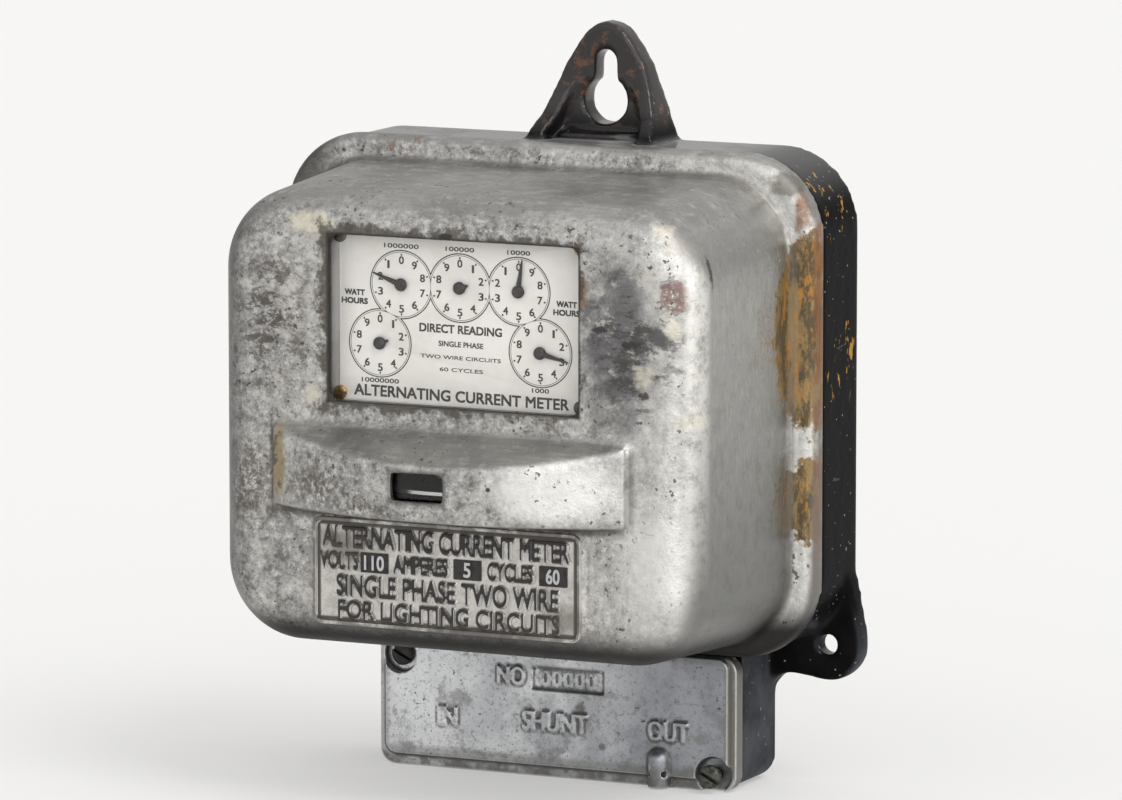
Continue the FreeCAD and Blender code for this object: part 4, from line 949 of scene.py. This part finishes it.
def build_dial_print():
    """Rings, ticks, figures and words of the register face, printed in black."""
    y = DIAL_FACE - 0.03
    outer, inner = 10.1, 9.55
    tick_out, tick_in, figure_radius = 9.1, 8.5, 7.2
    centres = [dial_centre(name) for name in DIAL_NAMES]
    parts = []
    for index, centre in enumerate(centres):
        neighbours = [centres[i] for i in (index - 1, index + 1) if 0 <= i < len(centres)]
        bearings = [degrees(atan2(n[1] - centre[1], n[0] - centre[0])) % 360
                    for n in neighbours]
        for radius, width in ((outer, 0.34), (inner, 0.15)):
            gap = degrees(acos(min(1, ARBOR_SPACING / 2 / radius)))
            cuts = sorted(bearings)
            for number, bearing in enumerate(cuts):
                following = cuts[(number + 1) % len(cuts)]
                span = (following - bearing) % 360 or 360
                parts.append(strip(centre, radius, width, bearing + gap, bearing + span - gap, y))
        clockwise = index % 2 == 0
        for figure in range(10):
            turn = radians(90 - (36 if clockwise else -36) * figure)
            parts.append(stroke(on_circle(centre, tick_out, turn), on_circle(centre, tick_in, turn),
                                0.5, y))
            width = 0.6 if figure == 1 else 1.5
            parts.append(lettering(str(figure), *on_circle(centre, figure_radius, turn), 2.2, width,
                                   y + 0.02, y, 0.07))
    for first, second in zip(centres, centres[1:]):
        middle = Vector(((first[0] + second[0]) / 2, (first[1] + second[1]) / 2))
        across = Vector((second[1] - first[1], first[0] - second[0])).normalized()
        reach = sqrt(outer ** 2 - (ARBOR_SPACING / 2) ** 2)
        parts.append(stroke(middle - across * reach, middle + across * reach, 0.13, y))
    for name, centre, width in zip(DIAL_NAMES, centres, (5.4, 7.3, 9.2, 11.2, 12.1)):
        offset = 11.4 if name in ("10000", "100000", "1000000") else -11.1
        parts.append(lettering(name, centre[0], centre[1] + offset, 1.25, width, y + 0.02, y, 0.05))
    words = (("WATT", -34.3, 36.2, 1.6, 6.4, 0.11), ("HOURS", -34.3, 33.7, 1.6, 8.4, 0.11),
             ("WATT", 34.4, 36.3, 1.6, 6.4, 0.11), ("HOURS", 34.4, 33.8, 1.6, 8.4, 0.11),
             ("DIRECT READING", 0.2, 26.9, 2.4, 26.6, 0.1), ("SINGLE PHASE", 0.3, 22.5, 1.5, 14.4, 0.06),
             ("TWO WIRE CIRCUITS", 0.2, 18.5, 1.1, 26, 0.03), ("60 CYCLES", 0.4, 14.9, 1.1, 14, 0.03),
             ("ALTERNATING CURRENT METER", 0.3, 7.1, 3.2, 69.6, 0.12))
    for text, x, z, height, width, weight in words:
        parts.append(lettering(text, x, z, height, width, y + 0.02, y, weight, -0.5))
    printed = join("dial_print", parts)
    place(printed, "root", "dial_ink")


def build_pointer(name, angle, length):
    """Tapered blade from a domed boss, with a collar."""
    centre = dial_centre(name)
    back, front = DIAL_FACE - 0.3, DIAL_FACE - 1.7
    boss = lathe("boss", [(0, front), (0.7, front), (1.35, front + 0.18), (1.75, front + 0.5),
                          (1.9, front + 0.9), (1.9, back), (0, back)], centre)
    steps = 8
    rings = []
    for step in range(steps + 1):
        share = step / steps
        reach = 1.2 + (length - 1.2) * share
        half = 0.72 * (1 - share) ** 0.8 + 0.16
        ridge = -0.42 * (1 - share) - 0.1
        ring = []
        for side, y in ((-half, 0), (-half * 0.55, ridge), (half * 0.55, ridge), (half, 0)):
            px, pz = turned_point(*centre, side, reach, -angle)
            ring.append((px, DIAL_FACE - 0.75 + y, pz))
        rings.append(ring)
    blade = tube("blade", rings)
    pointer = face_outwards(shade_smooth(join("dial_%s_hand" % name, [boss, blade]), 40))
    place(pointer, "dial_%s_body" % name, "pointer_black", ["dial_%s_pointer" % name])


# ---- screws and coils ----


def screw(name, x, z, head_radius, head_back, head_front, shank_radius, shank_end, slot_angle, pitch):
    """Slotted screw along Y with a domed edge on its head and a real thread."""
    height = head_back - head_front
    edge = min(0.3 * height, 0.3 * head_radius)
    head = lathe("head", [(0, head_front), (head_radius - 2 * edge, head_front),
                          (head_radius - 0.6 * edge, head_front + 0.35 * edge),
                          (head_radius, head_front + edge), (head_radius, head_back - 0.2 * edge),
                          (head_radius - 0.2 * edge, head_back), (0, head_back)], (x, z))
    half, long = 0.16 * head_radius, head_radius + 1
    corners = [turned_point(x, z, along, across, slot_angle)
               for along, across in ((-long, -half), (long, -half), (long, half), (-long, half))]
    carve(head, [tube("slot", [[(px, y, pz) for px, pz in corners]
                               for y in (head_front - 1, head_front + 0.7 * height)])])
    around, per_pitch = 24, 6
    rows = max(4, int((shank_end - head_back) / pitch * per_pitch))
    depth = 0.28 * pitch
    rings = []
    for row in range(rows + 1):
        along = head_back + (shank_end - head_back) * row / rows
        ring = []
        for step in range(around):
            phase = (along / pitch - step / around) % 1
            radius = shank_radius - depth * abs(2 * phase - 1)
            px, pz = on_circle((x, z), radius, 2 * pi * step / around)
            ring.append((px, along, pz))
        rings.append(ring)
    thread = tube("thread", rings)
    return shade_smooth(face_outwards(join(name, [head, thread])), 38)


def build_screws():
    """Every visible screw, each set standing for its CAD node."""
    sides = (-1, 1)
    dial = [(side * 39, z) for side in sides for z in (6.2, 52.9)]
    for index, (x, z) in enumerate(dial):
        piece = screw("dial_screw_%d" % index, x, z, 2.1, DIAL_FACE, DIAL_FACE - 0.9, 1, -92.4,
                      25 * index, 0.5)
        metal = "brass" if index in (0, 3) else "steel_screw"
        place(piece, "root", metal, ["dial_screws"])
    # set, spots, head radius, its back and front, shank radius and end, first angle of the slots and
    # the turn from one to the next, pitch, metal
    sets = (("frame_screw", [(side * 26, z) for side in sides for z in (-56, 30)],
             4, -8, -10.6, 2.1, -4.2, 40, 17, 0.9, "steel_screw"),
            ("magnet_screw", [(side * 52, DISC_Z) for side in sides],
             4, -8, -10.4, 2.1, -4.2, 70, -50, 0.9, "steel_screw"),
            ("terminal_screw", [(x, z) for x in TERMINAL_XS for z in (-102, -94)],
             2.9, -20, -22.2, 1.55, -16.8, 30, 37, 0.7, "brass"))
    for name, spots, radius, back, front, shank, end, angle, turn, pitch, metal in sets:
        for index, (x, z) in enumerate(spots):
            piece = screw("%s_%d" % (name, index), x, z, radius, back, front, shank, end,
                          angle + turn * index, pitch)
            place(piece, "root", metal, [name + "s"])
    for index, (x, z, seat) in enumerate(((53, -112.5, -31.9), (-51, -83.5, -27.6))):
        piece = screw("lid_screw_%d" % index, x, z, 3.5, seat, seat - 2.6, 1.55, seat + 15, -28, 1)
        metal = "old_steel" if index == 0 else "stamped_black"
        place(piece, "terminal_cover_body", metal, ["terminal_cover_screws"])


def build_coil(node, x, low, high, inner, outer, wire):
    """Windings with one ridge a turn between two fibre flanges."""
    turns = max(3, round((high - low) / wire))
    pitch = (high - low) / turns
    profile = [(inner, low), (outer - pitch / 2, low)]
    for turn in range(turns):
        for step in range(1, 6):
            angle = pi * step / 6
            profile.append((outer - pitch / 2 + pitch / 2 * sin(angle),
                            low + pitch * (turn + 0.5 - 0.5 * cos(angle))))
    profile += [(outer - pitch / 2, high), (inner, high), (inner, low)]
    windings = lathe(node + "_windings", profile, (x, COIL_Y), "z", 56)
    shade_smooth(windings, 60)
    place(windings, "root", "coil_varnish", [node])
    rims = []
    for start in (low - 1, high):
        edge = outer + 0.8
        rims.append(lathe("rim", [(inner, start), (edge - 0.2, start), (edge, start + 0.2),
                                  (edge, start + 0.8), (edge - 0.2, start + 1),
                                  (inner, start + 1), (inner, start)], (x, COIL_Y), "z", 56))
    flanges = shade_smooth(join(node + "_flanges", rims), 50)
    place(flanges, "root", "coil_fibre")


# ---- stage, lights and camera ----


def build_stage():
    """Pale floor with a faint glow of its own, as of a lit studio table, so that shadows stay light."""
    floor = object_from("floor", [(-15000, -15000, 0), (15000, -15000, 0), (15000, 15000, 0),
                                  (-15000, 15000, 0)], [(0, 1, 2, 3)])
    floor.location.z = cad_bounds[0][2]
    surface = Surface("floor", (183.25, 182.91, 181.86), 0.9, specular=0)
    surface.feed("Emission Color", (0.37, 0.367, 0.362, 1))
    surface.feed("Emission Strength", 1)
    floor.data.materials.append(surface.finish())


def build_world():
    """Soft studio light: bright overhead, dimmer towards the horizon and to the left."""
    world = bpy.data.worlds.new("studio")
    scene.world = world
    world.use_nodes = True
    tree = world.node_tree
    heading = add_node(tree, "TexCoord").outputs["Generated"]
    split = add_node(tree, "SeparateXYZ", {0: heading}).outputs
    height = add_node(tree, "MapRange", {0: split["Z"], 1: 0, 2: 0.9, 3: 0.56, 4: 0.96},
                      interpolation_type="SMOOTHSTEP")
    side = add_node(tree, "MapRange", {0: split["X"], 1: -1, 2: 1, 3: 0.62, 4: 1.15})
    product = add_node(tree, "Math", {0: height.outputs[0], 1: side.outputs[0]}, operation="MULTIPLY")
    background = tree.nodes["Background"].inputs
    plug(tree, background["Strength"], product.outputs[0])
    plug(tree, background["Color"], (1, 0.995, 0.985, 1))


def build_lights():
    """Broad lights without fall-off, so that the floor stays even: name, from, strength, spread."""
    for name, source, strength, spread in (("key", (0.62, -0.28, 1), 0.78, 24),
                                           ("front", (0.82, -0.57, 0.1), 1.95, 84),
                                           ("left", (-0.45, -0.85, 0.2), 0.75, 100)):
        sun = bpy.data.lights.new(name, "SUN")
        sun.energy = strength
        sun.angle = radians(spread)
        lamp = add_object(name, sun)
        lamp.rotation_euler = Vector(source).to_track_quat("Z", "Y").to_euler()


def build_camera():
    data = bpy.data.cameras.new("camera")
    data.lens = LENS
    data.sensor_width = 36
    data.clip_start = 0.05
    data.clip_end = 60
    camera = add_object("camera", data)
    away = Vector((sin(AZIMUTH) * cos(ELEVATION), -cos(AZIMUTH) * cos(ELEVATION), sin(ELEVATION)))
    camera.location = mm(*AIM) + away * DISTANCE * MM
    camera.rotation_euler = away.to_track_quat("Z", "Y").to_euler()
    scene.camera = camera
    scene.view_settings.view_transform = "Standard"


build_cover()
build_base()
build_lid()
build_nameplate()
build_register_plate()
build_inner_parts()
build_dial_print()
for dial_name, pointer_angle, pointer_length in zip(DIAL_NAMES, POINTER_ANGLES, POINTER_LENGTHS):
    build_pointer(dial_name, pointer_angle, pointer_length)
build_screws()
build_coil("potential_coil", 0, DISC_Z + 4.5, 6.8, 7.2, 14.5, 0.9)
for side_name, side in (("left", -1), ("right", 1)):
    build_coil("current_coil_%s" % side_name, side * 12, -45.8, DISC_Z - 3.8, 7.2, 10.8, 2.4)
build_stage()
build_world()
build_lights()
build_camera()
